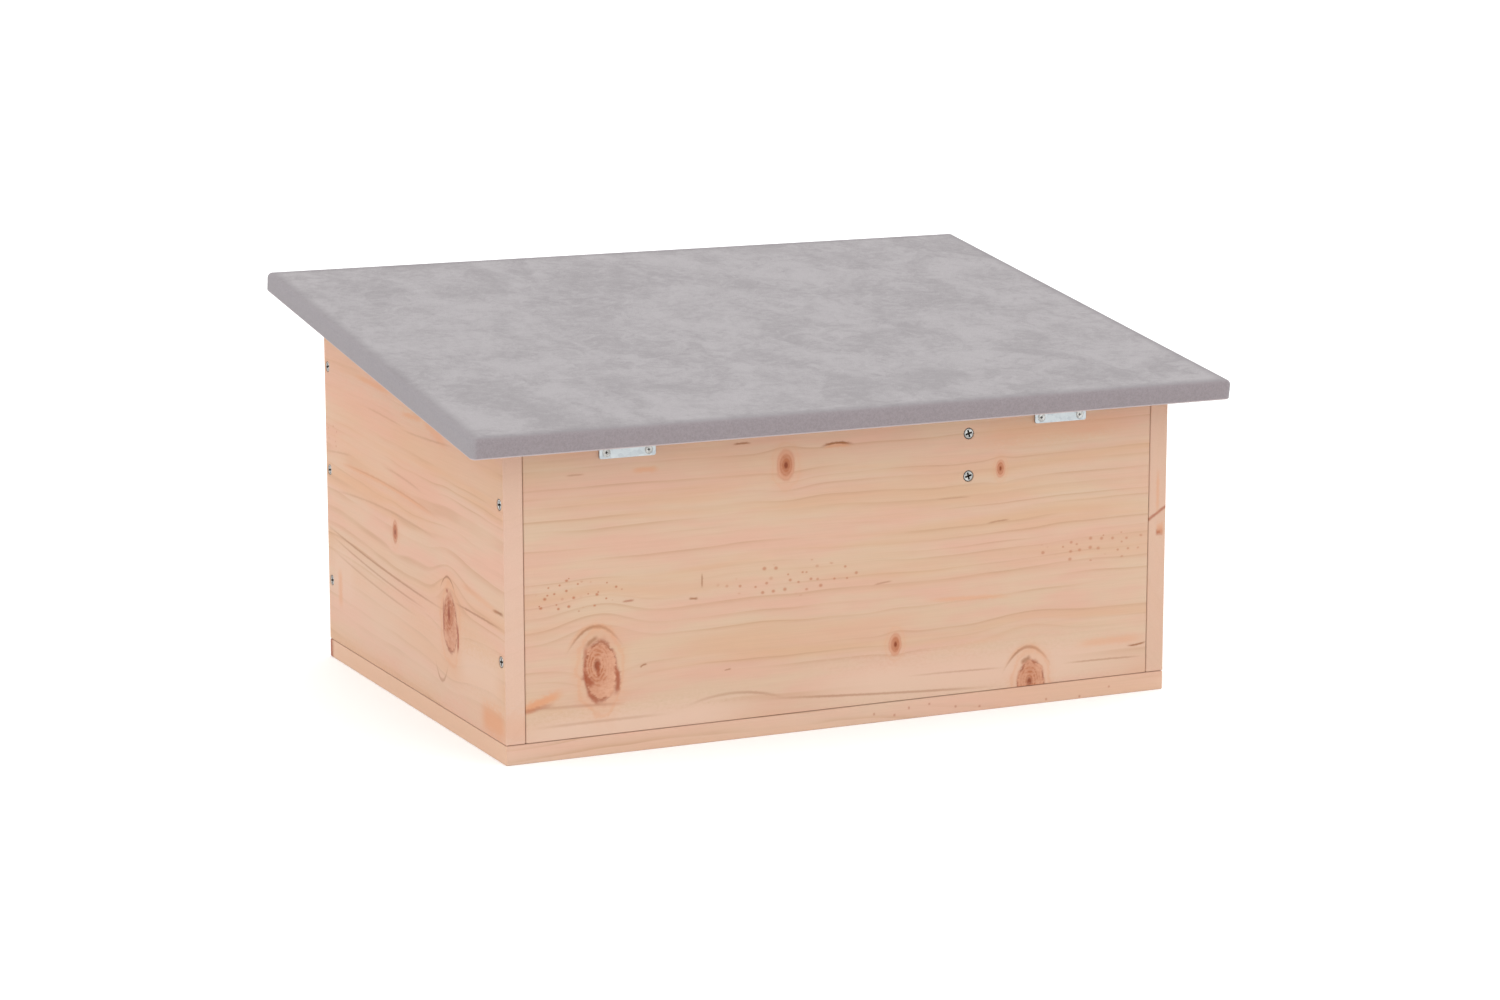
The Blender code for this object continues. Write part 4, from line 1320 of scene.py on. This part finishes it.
    def mesh(self) -> bpy.types.Mesh:
        """Builds the felt as one sheet with its thickness.

        Returns:
            The mesh, in the lid's frame.
        """
        shape = bmesh.new()
        edge_layer = shape.verts.layers.float.new("edge")
        bend_layer = shape.verts.layers.float.new("bend")
        rows = self._profile()
        rings = []
        for inset, height, edge, bend in rows:
            ring = [shape.verts.new((x, y, height)) for x, y in self._outline(inset)]
            for vert in ring:
                vert[edge_layer], vert[bend_layer] = edge, bend
            rings.append(ring)
        count = len(rings[0])
        for upper, lower in zip(rings, rings[1:]):
            for index in range(count):
                after = (index + 1) % count
                shape.faces.new((upper[index], lower[index], lower[after], upper[after]))
        self._fill_top(shape, rings[0], bend_layer)
        bmesh.ops.remove_doubles(shape, verts=shape.verts, dist=SHEET_WELD)
        bmesh.ops.recalc_face_normals(shape, faces=shape.faces)
        mesh = bpy.data.meshes.new("felt_sheet")
        shape.to_mesh(mesh)
        shape.free()
        return mesh

    def _fill_top(self, shape: bmesh.types.BMesh, rim: list, bend_layer: object) -> None:
        """Fills the upper side inside the first ring with a gently swaying grid.

        Args:
            shape: The mesh to fill.
            rim: The ring's vertices.
            bend_layer: The layer that holds how near a bend is.
        """
        columns, rows = self.columns, self.rows
        xs = np.linspace(-self.half_length + self.corner, self.half_length - self.corner, columns + 1)
        ys = np.linspace(self.front + self.corner, self.back - self.corner, rows + 1)
        grid = [[None] * (rows + 1) for _ in range(columns + 1)]
        start = 0
        sides = ([(i, 0) for i in range(columns + 1)], [(columns, j) for j in range(rows + 1)],
                 [(columns - i, rows) for i in range(columns + 1)], [(0, rows - j) for j in range(rows + 1)])
        for i in range(columns + 1):
            for j in range(rows + 1):
                x, y = float(xs[i]), float(ys[j])
                off = min(self.half_length - abs(x), y - self.front, self.back - y)
                ease = min(1.0, (off - self.corner) / self.flat_rim)
                sway = math.sin(x * 61 + 2.1 * math.sin(y * 33)) * math.cos(y * 47 + 1.7 * math.sin(x * 23))
                grid[i][j] = shape.verts.new((x, y, self.top + self.sway * ease * (sway - 1) * 0.5))
                grid[i][j][bend_layer] = max(0.0, 1.0 - (off - self.corner) / self.bend_rim)
        for i in range(columns):
            for j in range(rows):
                shape.faces.new((grid[i][j], grid[i + 1][j], grid[i + 1][j + 1], grid[i][j + 1]))
        for side in sides:
            for (i, j), (k, l), number in zip(side, side[1:], range(len(side) - 1)):
                shape.faces.new((grid[i][j], rim[start + number], rim[start + number + 1], grid[k][l]))
            column, row = side[-1]
            for step in range(self.corner_steps):
                first = start + len(side) - 1 + step
                shape.faces.new((grid[column][row], rim[first % len(rim)], rim[(first + 1) % len(rim)]))
            start += len(side) + self.corner_steps - 1

    def build(self, material: bpy.types.Material) -> bpy.types.Object:
        """Builds the piece in place of the CAD felt.

        Args:
            material: The felt's material.

        Returns:
            The piece.
        """
        source = new_piece("felt_source", self.mesh(), material)
        source.data.transform(self.lid.matrix())
        wall = source.modifiers.new("thickness", "SOLIDIFY")
        wall.thickness, wall.offset, wall.use_even_offset = self.thickness, -1.0, True
        piece = frozen(source, "felt_skin")
        shade(piece.data, SOFT_SHARP)
        settle(piece, Body.LID, Slot.FELT, "roof_felt")
        return piece


@dataclass(frozen=True)
class Revolved:
    """A turned shape: a profile that is revolved about the Z axis.

    Attributes:
        profile: The radius and height of each point, from the lower pole to the upper one.
        segments: The number of faces round the axis.
    """

    profile: tuple[tuple[float, float], ...]
    segments: int = 32

    def fill(self, shape: bmesh.types.BMesh) -> None:
        """Adds the closed shape to a mesh.

        Args:
            shape: The mesh to add it to.
        """
        rings = []
        for radius, height in self.profile:
            if radius == 0.0:
                rings.append([shape.verts.new((0, 0, height))])
                continue
            angles = (math.tau * step / self.segments for step in range(self.segments))
            circle = ((radius * math.cos(angle), radius * math.sin(angle), height) for angle in angles)
            rings.append([shape.verts.new(point) for point in circle])
        for low, high in zip(rings, rings[1:]):
            for index in range(self.segments):
                after = (index + 1) % self.segments
                corners = [low[index % len(low)], low[after % len(low)],
                           high[after % len(high)], high[index % len(high)]]
                shape.faces.new(list(dict.fromkeys(corners)))


def carve(target: bpy.types.Object, cutter: bpy.types.Object, name: str) -> bpy.types.Object:
    """Cuts one object out of another.

    Args:
        target: The object to cut, which is used up.
        cutter: The shape to take away, which is used up.
        name: The result's name.

    Returns:
        The cut object.
    """
    cut = target.modifiers.new("cut", "BOOLEAN")
    cut.operation, cut.solver, cut.object = "DIFFERENCE", "EXACT", cutter
    made = frozen(target, name)
    bpy.data.objects.remove(cutter)
    return made


def mesh_object(shape: bmesh.types.BMesh, name: str,
                material: bpy.types.Material | None = None) -> bpy.types.Object:
    """Turns a bmesh into an object with outward faces, and frees it.

    Args:
        shape: The bmesh.
        name: The object's name.
        material: Its material.

    Returns:
        The object.
    """
    bmesh.ops.remove_doubles(shape, verts=shape.verts, dist=WELD)
    bmesh.ops.recalc_face_normals(shape, faces=shape.faces)
    mesh = bpy.data.meshes.new(name)
    shape.to_mesh(mesh)
    shape.free()
    return new_piece(name, mesh, material)


def grown(name: str, source: bpy.types.Object, tree: bpy.types.NodeTree, inputs: dict) -> bpy.types.Object:
    """Runs a Geometry Nodes tree on an object and keeps the result as a plain piece.

    Args:
        name: The piece's name.
        source: The object that the tree starts from, which is used up.
        tree: The tree.
        inputs: The value of each named input.

    Returns:
        The piece.
    """
    step = source.modifiers.new("grow", "NODES")
    step.node_group = tree
    sockets = {item.name: item.identifier for item in tree.interface.items_tree if item.in_out == "INPUT"}
    for label, value in inputs.items():
        step[sockets[label]] = value
    return frozen(source, name)


@dataclass(frozen=True)
class ScrewSize:
    """The sizes of a countersunk cross-head screw, in metres.

    Attributes:
        head: The head's diameter.
        shank: The thread's outer diameter.
        length: The whole length.
        tip: The tip's length.
        cross: The length of the recess's arms from end to end.
        slot: The width of an arm at the top.
        depth: How deep the recess is.
        pitch: The thread's pitch.
        rim_shade: How dark the painted shade round the head's rim is, 0 to 1.
        core: The core's radius under the thread, as a share of the shank.
        ridge: The thread's height, as a share of the shank.
        smooth: The share of the length that has no thread, from the head's face on.
    """

    head: float
    shank: float
    length: float
    tip: float
    cross: float
    slot: float
    depth: float
    pitch: float
    rim_shade: float
    core: float = 0.36
    ridge: float = 0.15
    smooth: float = 0.36

    def blank(self, name: str) -> bpy.types.Object:
        """Builds the screw without its thread, head up, with the head's face at the origin.

        Args:
            name: The object's name.

        Returns:
            The blank.
        """
        core, rim, head = self.shank * self.core, self.head * 0.03, self.head / 2
        neck = self.head / 2 - self.shank / 2
        profile = ((0.0, -self.length), (core * 0.25, -self.length + self.tip * 0.2),
                   (core, -self.length + self.tip), (core, -self.length * self.smooth),
                   (self.shank * 0.47, -self.length * 0.34), (self.shank * 0.47, -rim - neck - rim),
                   (self.shank * 0.52, -rim - neck), (head, -rim * 2.2), (head, -rim),
                   (head * 0.97, -rim * 0.3), (head * 0.82, 0.0), (0.0, 0.0))
        shape = bmesh.new()
        Revolved(profile).fill(shape)
        body = mesh_object(shape, name)
        shape = bmesh.new()
        for turn in (0.0, math.pi / 2):
            made = bmesh.ops.create_cube(shape, size=1.0)["verts"]
            for vert in made:
                deep = vert.co.z < 0
                reach = self.cross * (0.5 if deep else 1.02)
                wide = self.slot * (0.62 if deep else 1.0)
                level = -self.depth if deep else self.depth * 0.3
                vert.co = Vector((vert.co.x * reach, vert.co.y * wide, level))
            bmesh.ops.rotate(shape, verts=made, cent=(0, 0, 0), matrix=Matrix.Rotation(turn, 3, "Z"))
        cross = bpy.data.meshes.new("cross")
        bmesh.ops.recalc_face_normals(shape, faces=shape.faces)
        shape.to_mesh(cross)
        shape.free()
        cutter = new_piece("cross", cross)
        cut = body.modifiers.new("cut", "BOOLEAN")
        cut.operation, cut.solver, cut.object, cut.use_self = "DIFFERENCE", "EXACT", cutter, True
        made = frozen(body, name)
        bpy.data.objects.remove(cutter)
        shade(made.data, SCREW_SHARP)
        # Painted shade: the recess's faces are marked fully and the rim's faces partly, for the shade that
        # falls in them.
        painted_shade = made.data.attributes.new("painted_shade", "FLOAT", "FACE")
        for face in made.data.polygons:
            off = Vector(face.center[:2]).length / head
            deep = face.center.z < -rim * 0.6 and off < 0.75
            painted_shade.data[face.index].value = 1.0 if deep else self.rim_shade if off > 0.85 else 0.0
        made.hide_render = True
        return made


@dataclass
class Screws:
    """All the screws: their shapes are grown at their places by one Geometry Nodes tree.

    Attributes:
        lid: The lid's frame.
        material: The steel's material.
        wood: The size of the wood screws.
        small: The size of the hinge screws.
        turn: How much further each recess is turned than the last one, in degrees.
    """

    lid: LidFrame
    material: bpy.types.Material
    wood: ScrewSize = ScrewSize(head=6.2 * MM, shank=3.0 * MM, length=25.0 * MM, tip=4.0 * MM, cross=4.6 * MM,
                                slot=1.15 * MM, depth=1.1 * MM, pitch=1.3 * MM, rim_shade=0.85)
    small: ScrewSize = ScrewSize(head=4.6 * MM, shank=2.4 * MM, length=8.0 * MM, tip=2.0 * MM, cross=1.8 * MM,
                                 slot=0.5 * MM, depth=0.5 * MM, pitch=0.9 * MM, rim_shade=0.12)
    turn: float = 91.5

    def tree(self) -> bpy.types.NodeTree:
        """Builds the tree that sets a threaded screw on each point.

        Returns:
            The tree.
        """
        graph, given, out = Graph.group(
            "screw_set", "GeometryNodeTree",
            {"Places": "Geometry", "Blank": "Object",
             **floats("Thread Radius", "Thread Pitch", "Thread Length", "Thread Start", "Thread Height"),
             "Finish": "Material"}, {"Geometry": "Geometry"})
        give = given.outputs
        blank = graph.put("GeometryNodeObjectInfo", {"Object": give["Blank"]}).outputs["Geometry"]
        turns = graph.over(give["Thread Length"], give["Thread Pitch"])
        radius = graph.minus(give["Thread Radius"], give["Thread Height"])
        spiral = graph.put("GeometryNodeCurveSpiral", {
            "Resolution": 14, "Rotations": turns, "Start Radius": radius, "End Radius": radius,
            "Height": give["Thread Length"]})
        drop = graph.times(graph.plus(give["Thread Start"], give["Thread Length"]), -1)
        placed = graph.put("GeometryNodeTransform", {
            "Geometry": spiral.outputs[0], "Translation": graph.join(0, 0, drop)}).outputs[0]
        thread = graph.wire(placed, 3, give["Thread Height"])
        screw = graph.put("GeometryNodeJoinGeometry")
        graph.tree.links.new(thread, screw.inputs[0])
        graph.tree.links.new(blank, screw.inputs[0])
        stand = graph.put("GeometryNodeInputNamedAttribute", {"Name": "stand"}, data_type="FLOAT_VECTOR")
        rotation = graph.put("FunctionNodeEulerToRotation", {0: stand.outputs[0]}).outputs[0]
        points = graph.put("GeometryNodeMeshToPoints", {0: give["Places"]}).outputs[0]
        return graph.realized(out, points, screw.outputs[0], rotation, give["Finish"])

    def _places(self, spots: list[tuple[Vector, Vector]]) -> bpy.types.Object:
        """Makes an object with a vertex at each screw's head.

        Args:
            spots: The middle of each head's face and the way that it faces.

        Returns:
            The object.
        """
        mesh = bpy.data.meshes.new("screw_places")
        mesh.from_pydata([tuple(spot) for spot, _ in spots], [], [])
        stand = mesh.attributes.new("stand", "FLOAT_VECTOR", "POINT")
        for number, (_, aim) in enumerate(spots):
            upright = aim.to_track_quat("Z", "Y").to_matrix()
            spin = Matrix.Rotation(math.radians(self.turn * number), 3, "Z")
            stand.data[number].vector = (upright @ spin).to_euler()
        return new_piece("screw_places", mesh)

    def _spots(self, nodes: list[str], aim: Vector) -> list[tuple[Vector, Vector]]:
        """Finds the heads of screws that face along an axis.

        Args:
            nodes: The screws' CAD nodes.
            aim: The way that they face, along one axis.

        Returns:
            The middle of each head's face and its aim.
        """
        found = []
        for node in nodes:
            low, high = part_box(node)
            middle, half = (low + high) / 2, (high - low) / 2
            found.append((middle + Vector(a * h for a, h in zip(aim, half)), aim))
        return found

    def _grow(self, name: str, size: ScrewSize, spots: list, tree: bpy.types.NodeTree) -> bpy.types.Object:
        """Grows one set of screws.

        Args:
            name: The piece's name.
            size: The screws' size.
            spots: Where the heads are and where they face.
            tree: The tree.

        Returns:
            The piece.
        """
        blank = size.blank(name + "_blank")
        tail = size.length * 0.62 - size.tip * 0.6
        piece = grown(name, self._places(spots), tree, {
            "Blank": blank, "Thread Radius": size.shank / 2, "Thread Pitch": size.pitch,
            "Thread Length": tail, "Thread Start": size.length * size.smooth,
            "Thread Height": size.shank * size.ridge, "Finish": self.material})
        bpy.data.objects.remove(blank)
        return piece

    def build(self) -> None:
        """Builds the wood screws and the hinge screws in place of their CAD nodes."""
        tree = self.tree()
        names = sorted(node for node in frame["nodes"] if "_screw" in node)
        aims = {"side_left": (-1, 0, 0), "side_right": (1, 0, 0), "divider_back": (0, 1, 0),
                "divider_front": (0, -1, 0), "base": (0, 0, -1)}
        spots, nodes = [], []
        for start, aim in aims.items():
            group = [node for node in names if node.startswith(start)]
            spots += self._spots(group, Vector(aim))
            nodes += group
        settle(self._grow("wood_screws", self.wood, spots, tree), Body.HOUSE, Slot.STEEL, *nodes)
        nodes = [node for node in names if "_wall_screw" in node]
        spots = self._spots(nodes, Vector((0, 1, 0)))
        settle(self._grow("wall_hinge_screws", self.small, spots, tree), Body.HOUSE, Slot.STEEL, *nodes)
        nodes = [node for node in names if "_roof_screw" in node]
        matrix = self.lid.matrix()
        back, spots = matrix.inverted(), []
        for node in nodes:
            low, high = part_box(node)
            spot = back @ ((low + high) / 2)
            spot.z -= self.small.length / 2
            spots.append((matrix @ spot, matrix.to_3x3() @ Vector((0, 0, -1))))
        settle(self._grow("roof_hinge_screws", self.small, spots, tree), Body.LID, Slot.STEEL, *nodes)


@dataclass
class Hinge:
    """A small butt hinge with rolled knuckles. Its leaf lies along Y, with the pin on the X axis.

    Attributes:
        side: The side of the house that it is on, as in the CAD nodes' names.
        lid: The lid's frame.
        material: The zinc's material.
        length: The leaves' length along the pin.
        reach: From the pin's middle to a leaf's far edge.
        bore: The knuckles' inner radius.
        sheet: The leaves' thickness.
        corner: The radius of the far corners.
        knuckles: The number of knuckles.
        gap: The gap between knuckles.
        notch: From the pin's middle to the leaf's edge between its own knuckles.
        hole: From the middle of the leaf to a hole.
        hole_reach: From the pin's middle to a hole.
        head: The diameter of the countersink.
        roll: The angle that the knuckles are rolled through, in degrees.
        pin: The pin's radius.
        pin_head: The radius and height of the pin's domed ends.
        bevel: The width of the eased edges.
        roll_steps: The number of faces round a knuckle.
        corner_steps: The number of faces round a far corner.
    """

    side: str
    lid: LidFrame
    material: bpy.types.Material
    length: float = 32.0 * MM
    reach: float = 10.6 * MM
    bore: float = 1.1 * MM
    sheet: float = 1.0 * MM
    corner: float = 1.2 * MM
    knuckles: int = 5
    gap: float = 0.3 * MM
    notch: float = 2.5 * MM
    hole: float = 12.0 * MM
    hole_reach: float = 7.4 * MM
    head: float = 4.8 * MM
    roll: float = 298.0
    pin: float = 1.0 * MM
    pin_head: tuple[float, float] = (1.6 * MM, 0.6 * MM)
    bevel: float = 0.09 * MM
    roll_steps: int = 44
    corner_steps: int = 6

    def _middle(self) -> float:
        """The middle of the hinge along the house."""
        low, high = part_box(f"hinge_{self.side}_pin")
        return (low.x + high.x) / 2

    def _outline(self, own: int) -> list[tuple[float, float]]:
        """The leaf's flat outline.

        Args:
            own: 0 for the leaf with the outer knuckles, 1 for the other one.

        Returns:
            The points of the outline.
        """
        half = self.length / 2
        width = (self.length - self.gap * (self.knuckles - 1)) / self.knuckles
        points: list[tuple[float, float]] = []
        for number in range(self.knuckles):
            start = -half + number * (width + self.gap)
            if number % 2 == own:
                points += [(start, self.notch), (start, 0.0),
                           (start + width, 0.0), (start + width, self.notch)]
        if own:
            points = [(-half, self.notch), *points, (half, self.notch)]
        else:
            points = points[1:-1]
        for centre, start in ((half - self.corner, 0.0), (-half + self.corner, math.pi / 2)):
            for step in range(self.corner_steps + 1):
                angle = start + math.pi / 2 * step / self.corner_steps
                points.append((centre + self.corner * math.cos(angle),
                               self.reach - self.corner + self.corner * math.sin(angle)))
        return points

    def _leaf(self, own: int, name: str) -> bpy.types.Object:
        """Builds a leaf with its knuckles and countersunk holes.

        Args:
            own: 0 for the leaf with the outer knuckles, 1 for the other one.
            name: The object's name.

        Returns:
            The leaf, with the pin's middle at the origin.
        """
        shape = bmesh.new()
        flat = shape.faces.new([shape.verts.new((x, y, self.bore)) for x, y in self._outline(own)])
        raised = bmesh.ops.extrude_face_region(shape, geom=[flat])["geom"]
        bmesh.ops.translate(shape, verts=[v for v in raised if isinstance(v, bmesh.types.BMVert)],
                            vec=(0, 0, self.sheet))
        bmesh.ops.recalc_face_normals(shape, faces=shape.faces)
        ends = [face for face in shape.faces if all(abs(v.co.y) < 1e-7 for v in face.verts)]
        bmesh.ops.spin(shape, geom=ends, cent=(0, 0, 0), axis=(1, 0, 0), dvec=(0, 0, 0),
                       angle=math.radians(self.roll), steps=self.roll_steps)
        bmesh.ops.delete(shape, geom=ends, context="FACES_ONLY")
        leaf = mesh_object(shape, name, self.material)
        shape = bmesh.new()
        rim, deep = self.head / 2, 0.25 * MM
        profile = ((0.0, -deep), (rim + deep, -deep), (rim - self.sheet, self.sheet),
                   (rim - self.sheet, self.sheet + deep), (0.0, self.sheet + deep))
        for spot in (-self.hole, self.hole):
            before = set(shape.verts)
            Revolved(profile, 40).fill(shape)
            bmesh.ops.translate(shape, verts=[v for v in shape.verts if v not in before],
                                vec=(spot, self.hole_reach, self.bore))
        return carve(leaf, mesh_object(shape, "countersinks"), name)

    def _finish(self, source: bpy.types.Object, name: str, matrix: Matrix) -> bpy.types.Object:
        """Puts a part in place and rounds its edges.

        Args:
            source: The part.
            name: The piece's name.
            matrix: From the part's frame to the scene.

        Returns:
            The piece.
        """
        source.data.transform(matrix)
        soften = source.modifiers.new("edges", "BEVEL")
        soften.width, soften.segments, soften.limit_method = self.bevel, 2, "ANGLE"
        soften.angle_limit = math.radians(50)
        piece = frozen(source, name)
        shade(piece.data, METAL_SHARP)
        return piece

    def build(self) -> None:
        """Builds both leaves and the pin."""
        middle = self._middle()
        rest = self.lid.matrix() @ Matrix.Translation((middle, 0, 0))
        stand = Matrix.Translation((middle, self.lid.origin.y, self.lid.origin.z)) @ Matrix(
            ((-1, 0, 0, 0), (0, 0, -1, 0), (0, -1, 0, 0), (0, 0, 0, 1)))
        name = f"hinge_{self.side}"
        leaf = self._finish(self._leaf(0, name + "_blank"), f"{name}_wall_plate", stand)
        settle(leaf, Body.HOUSE, Slot.ZINC, f"{name}_wall_leaf")
        leaf = self._finish(self._leaf(1, name + "_blank"), f"{name}_roof_plate", rest)
        settle(leaf, Body.LID, Slot.ZINC, f"{name}_roof_leaf")
        low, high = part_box(f"{name}_pin")
        radius, tall = self.pin_head
        half = (high.x - low.x) / 2
        angles = np.linspace(0.15, 1.57, 7)[:-1]
        dome = [(radius * math.cos(angle), half - tall + tall * math.sin(angle)) for angle in angles]
        upper = [(self.pin, half - tall), (radius * 0.97, half - tall), *dome, (0.0, half)]
        profile = [(r, -h) for r, h in reversed(upper)] + upper
        shape = bmesh.new()
        Revolved(tuple(profile), 28).fill(shape)
        rod = mesh_object(shape, "pin_blank", self.material)
        rod.data.transform(Matrix.Translation((middle, self.lid.origin.y, self.lid.origin.z))
                           @ Matrix.Rotation(math.pi / 2, 4, "Y"))
        piece = frozen(rod, f"{name}_rivet_pin")
        shade(piece.data, METAL_SHARP)
        settle(piece, Body.HOUSE, Slot.ZINC, f"{name}_pin")


@dataclass
class Staples:
    """The wire staples that hold the felt's flange to the underside of the roof board.

    Attributes:
        skin: The felt that they hold.
        material: The wire's material.
        crown: The length of a staple's crown.
        leg: The length of its legs.
        wire: The wire's radius.
        corner: The radius of its bends.
        spacing: The distance from one staple to the next.
        inset: How far a row runs from the felt's edge.
        back_inset: The same at the back, where the flange is narrower.
        proud: How far a crown stands below the felt.
        clear: How far the rows end before the felt's corners.
        slant: The greatest angle that a staple stands off its row, in radians.
        seed: The seed of those angles.
    """

    skin: FeltSkin
    material: bpy.types.Material
    crown: float = 10.0 * MM
    leg: float = 4.5 * MM
    wire: float = 0.32 * MM
    corner: float = 0.55 * MM
    spacing: float = 46.0 * MM
    inset: float = 8.6 * MM
    back_inset: float = 6.4 * MM
    proud: float = 0.30 * MM
    clear: float = 17.0 * MM
    slant: float = 0.16
    seed: int = 5

    def tree(self) -> bpy.types.NodeTree:
        """Builds the tree that sets bent wire staples along lines.

        Returns:
            The tree.
        """
        graph, given, out = Graph.group(
            "staple_row", "GeometryNodeTree",
            {"Lines": "Geometry", "Wire Shape": "Object", **floats("Spacing", "Wire Radius", "Bend Radius"),
             "Finish": "Material"}, {"Geometry": "Geometry"})
        give = given.outputs
        lines = graph.put("GeometryNodeMeshToCurve", {0: give["Lines"]}).outputs[0]
        spots = graph.put("GeometryNodeResampleCurve", {"Curve": lines, "Length": give["Spacing"]},
                          mode="LENGTH")
        path = graph.put("GeometryNodeObjectInfo", {"Object": give["Wire Shape"]}).outputs["Geometry"]
        bent = graph.put("GeometryNodeMeshToCurve", {0: path}).outputs[0]
        inputs = {"Curve": bent, "Radius": give["Bend Radius"], "Count": 4}
        bent = graph.put("GeometryNodeFilletCurve", inputs, mode="POLY").outputs[0]
        staple = graph.wire(bent, 8, give["Wire Radius"])
        tangent = graph.put("GeometryNodeInputTangent").outputs[0]
        rotation = graph.put("FunctionNodeAlignRotationToVector", {"Vector": tangent}, axis="X").outputs[0]
        inputs = {2: -self.slant, 3: self.slant, "Seed": self.seed}
        slant = graph.put("FunctionNodeRandomValue", inputs, data_type="FLOAT").outputs[1]
        slant = graph.put("FunctionNodeEulerToRotation", {0: graph.join(0, 0, slant)}).outputs[0]
        inputs = {0: rotation, 1: slant}
        rotation = graph.put("FunctionNodeRotateRotation", inputs, rotation_space="LOCAL").outputs[0]
        return graph.realized(out, spots.outputs[0], staple, rotation, give["Finish"])

    def build(self) -> None:
        """Builds the staples along all four sides."""
        skin = self.skin
        level = skin.under + self.wire - self.proud
        side, ends = skin.half_length - self.inset, skin.half_length - self.clear
        front, back = skin.front + self.inset, skin.back - self.back_inset
        lines = (((-ends, front), (ends, front)), ((-ends, back), (ends, back)),
                 ((-side, skin.front + self.clear), (-side, skin.back - self.clear)),
                 ((side, skin.front + self.clear), (side, skin.back - self.clear)))
        mesh = bpy.data.meshes.new("staple_lines")
        points = [(x, y, level) for line in lines for x, y in line]
        mesh.from_pydata(points, [(0, 1), (2, 3), (4, 5), (6, 7)], [])
        half = self.crown / 2
        wire = bpy.data.meshes.new("staple_wire")
        wire.from_pydata([(-half, 0, self.leg), (-half, 0, 0), (half, 0, 0), (half, 0, self.leg)],
                         [(0, 1), (1, 2), (2, 3)], [])
        pattern = new_piece("staple_wire", wire)
        piece = grown("felt_staples", new_piece("staple_lines", mesh), self.tree(), {
            "Wire Shape": pattern, "Spacing": self.spacing, "Wire Radius": self.wire,
            "Bend Radius": self.corner, "Finish": self.material})
        bpy.data.objects.remove(pattern)
        piece.data.transform(skin.lid.matrix())
        shade(piece.data, SOFT_SHARP)
        settle(piece, Body.LID, Slot.STEEL)


@dataclass
class Studio:
    """The camera, the floor and the light.

    Attributes:
        eye: Where the camera stands, in metres.
        aim: How it is turned, in radians.
        lens: Its focal length in millimetres.
        farthest: How far it sees, in metres.
        floor_reach: How far the floor goes in metres.
        horizon: The sky's brightness at the horizon.
        zenith: How much brighter it is overhead.
        stronger: The way to the stronger side of the sky.
        turned: How much stronger that side is.
        floor_drop: How far the floor lies below the base board.
        floor_glow: How brightly the floor is lit from behind, as a light table is.
    """

    eye: tuple[float, float, float] = (0.8852466, 1.8934503, 0.4981816)
    aim: tuple[float, float, float] = (1.3829538, 0.0007062, 2.7009267)
    lens: float = FOCAL_PIXELS * SENSOR_WIDTH / PHOTO_WIDTH
    farthest: float = 200.0
    floor_reach: float = 60.0
    horizon: float = 1.05
    zenith: float = 0.5
    stronger: tuple[float, float, float] = (-0.7, 0.7, 0.0)
    turned: float = 0.10
    floor_drop: float = 0.1 * MM
    floor_glow: float = 0.14

    def camera(self) -> None:
        """Sets up the camera of the photograph."""
        data = bpy.data.cameras.new("camera")
        data.lens, data.sensor_width, data.clip_end = self.lens, SENSOR_WIDTH, self.farthest
        eye = bpy.data.objects.new("camera", data)
        eye.location, eye.rotation_euler = self.eye, self.aim
        bpy.context.scene.collection.objects.link(eye)
        bpy.context.scene.camera = eye

    def floor(self) -> None:
        """Lays the pale floor."""
        shape = bmesh.new()
        bmesh.ops.create_grid(shape, x_segments=1, y_segments=1, size=self.floor_reach)
        mesh = bpy.data.meshes.new("floor")
        shape.to_mesh(mesh)
        shape.free()
        made, graph, shader = new_material("pale_floor")
        graph.fill(shader, {
            "Base Color": (0.92, 0.92, 0.92, 1), "Emission Color": (1, 1, 1, 1),
            "Emission Strength": self.floor_glow, "Roughness": 0.9, "Specular IOR Level": 0.0})
        piece = new_piece("floor", mesh, made)
        mesh.transform(Matrix.Translation((0, 0, -self.floor_drop)))

    def sky(self) -> None:
        """Sets the even studio light, a little stronger from above."""
        world = bpy.data.worlds.new("studio")
        world.use_nodes = True
        bpy.context.scene.world = world
        graph = Graph(world.node_tree)
        place = graph.put("ShaderNodeTexCoord").outputs["Generated"]
        height = graph.math("MAXIMUM", graph.parts(place)[2], 0.0)
        strength = graph.fuse(height, self.zenith, self.horizon)
        sideways = graph.fuse(graph.vector("DOT_PRODUCT", place, self.stronger), self.turned, 1.0)
        strength = graph.times(strength, sideways)
        ground = world.node_tree.nodes["Background"]
        ground.inputs["Color"].default_value = (1, 1, 1, 1)
        graph.feed(ground.inputs["Strength"], strength)
        bpy.context.scene.view_settings.view_transform = "Standard"

    def build(self) -> None:
        """Builds the whole studio."""
        self.camera()
        self.floor()
        self.sky()


def main() -> None:
    """Builds the studio and the pieces in order."""
    logging.basicConfig(level=logging.INFO, format="%(name)s: %(message)s")
    lid = LidFrame.from_frame()
    LOG.info("roof slope %.4f degrees", math.degrees(lid.slope))
    Studio().build()
    Boards(lid).dress()
    skin = FeltSkin(lid)
    skin.build(FeltFinish().material(lid))
    zinc = MetalFinish("zinc_sheet", bright=Tint(190, 196, 198), dull=Tint(179, 186, 190),
                       shade_tint=Tint(120, 124, 124), smooth=0.38, rough=0.50, grain=2.6).material()
    steel = MetalFinish("bright_steel", bright=Tint(190, 190, 187), dull=Tint(154, 153, 150),
                        shade_tint=Tint(48, 40, 34), smooth=0.26, rough=0.42, grain=1.3).material()
    for side in ("left", "right"):
        Hinge(side, lid, zinc).build()
    Screws(lid, steel).build()
    Staples(skin, steel).build()


if __name__ == "__main__":
    main()
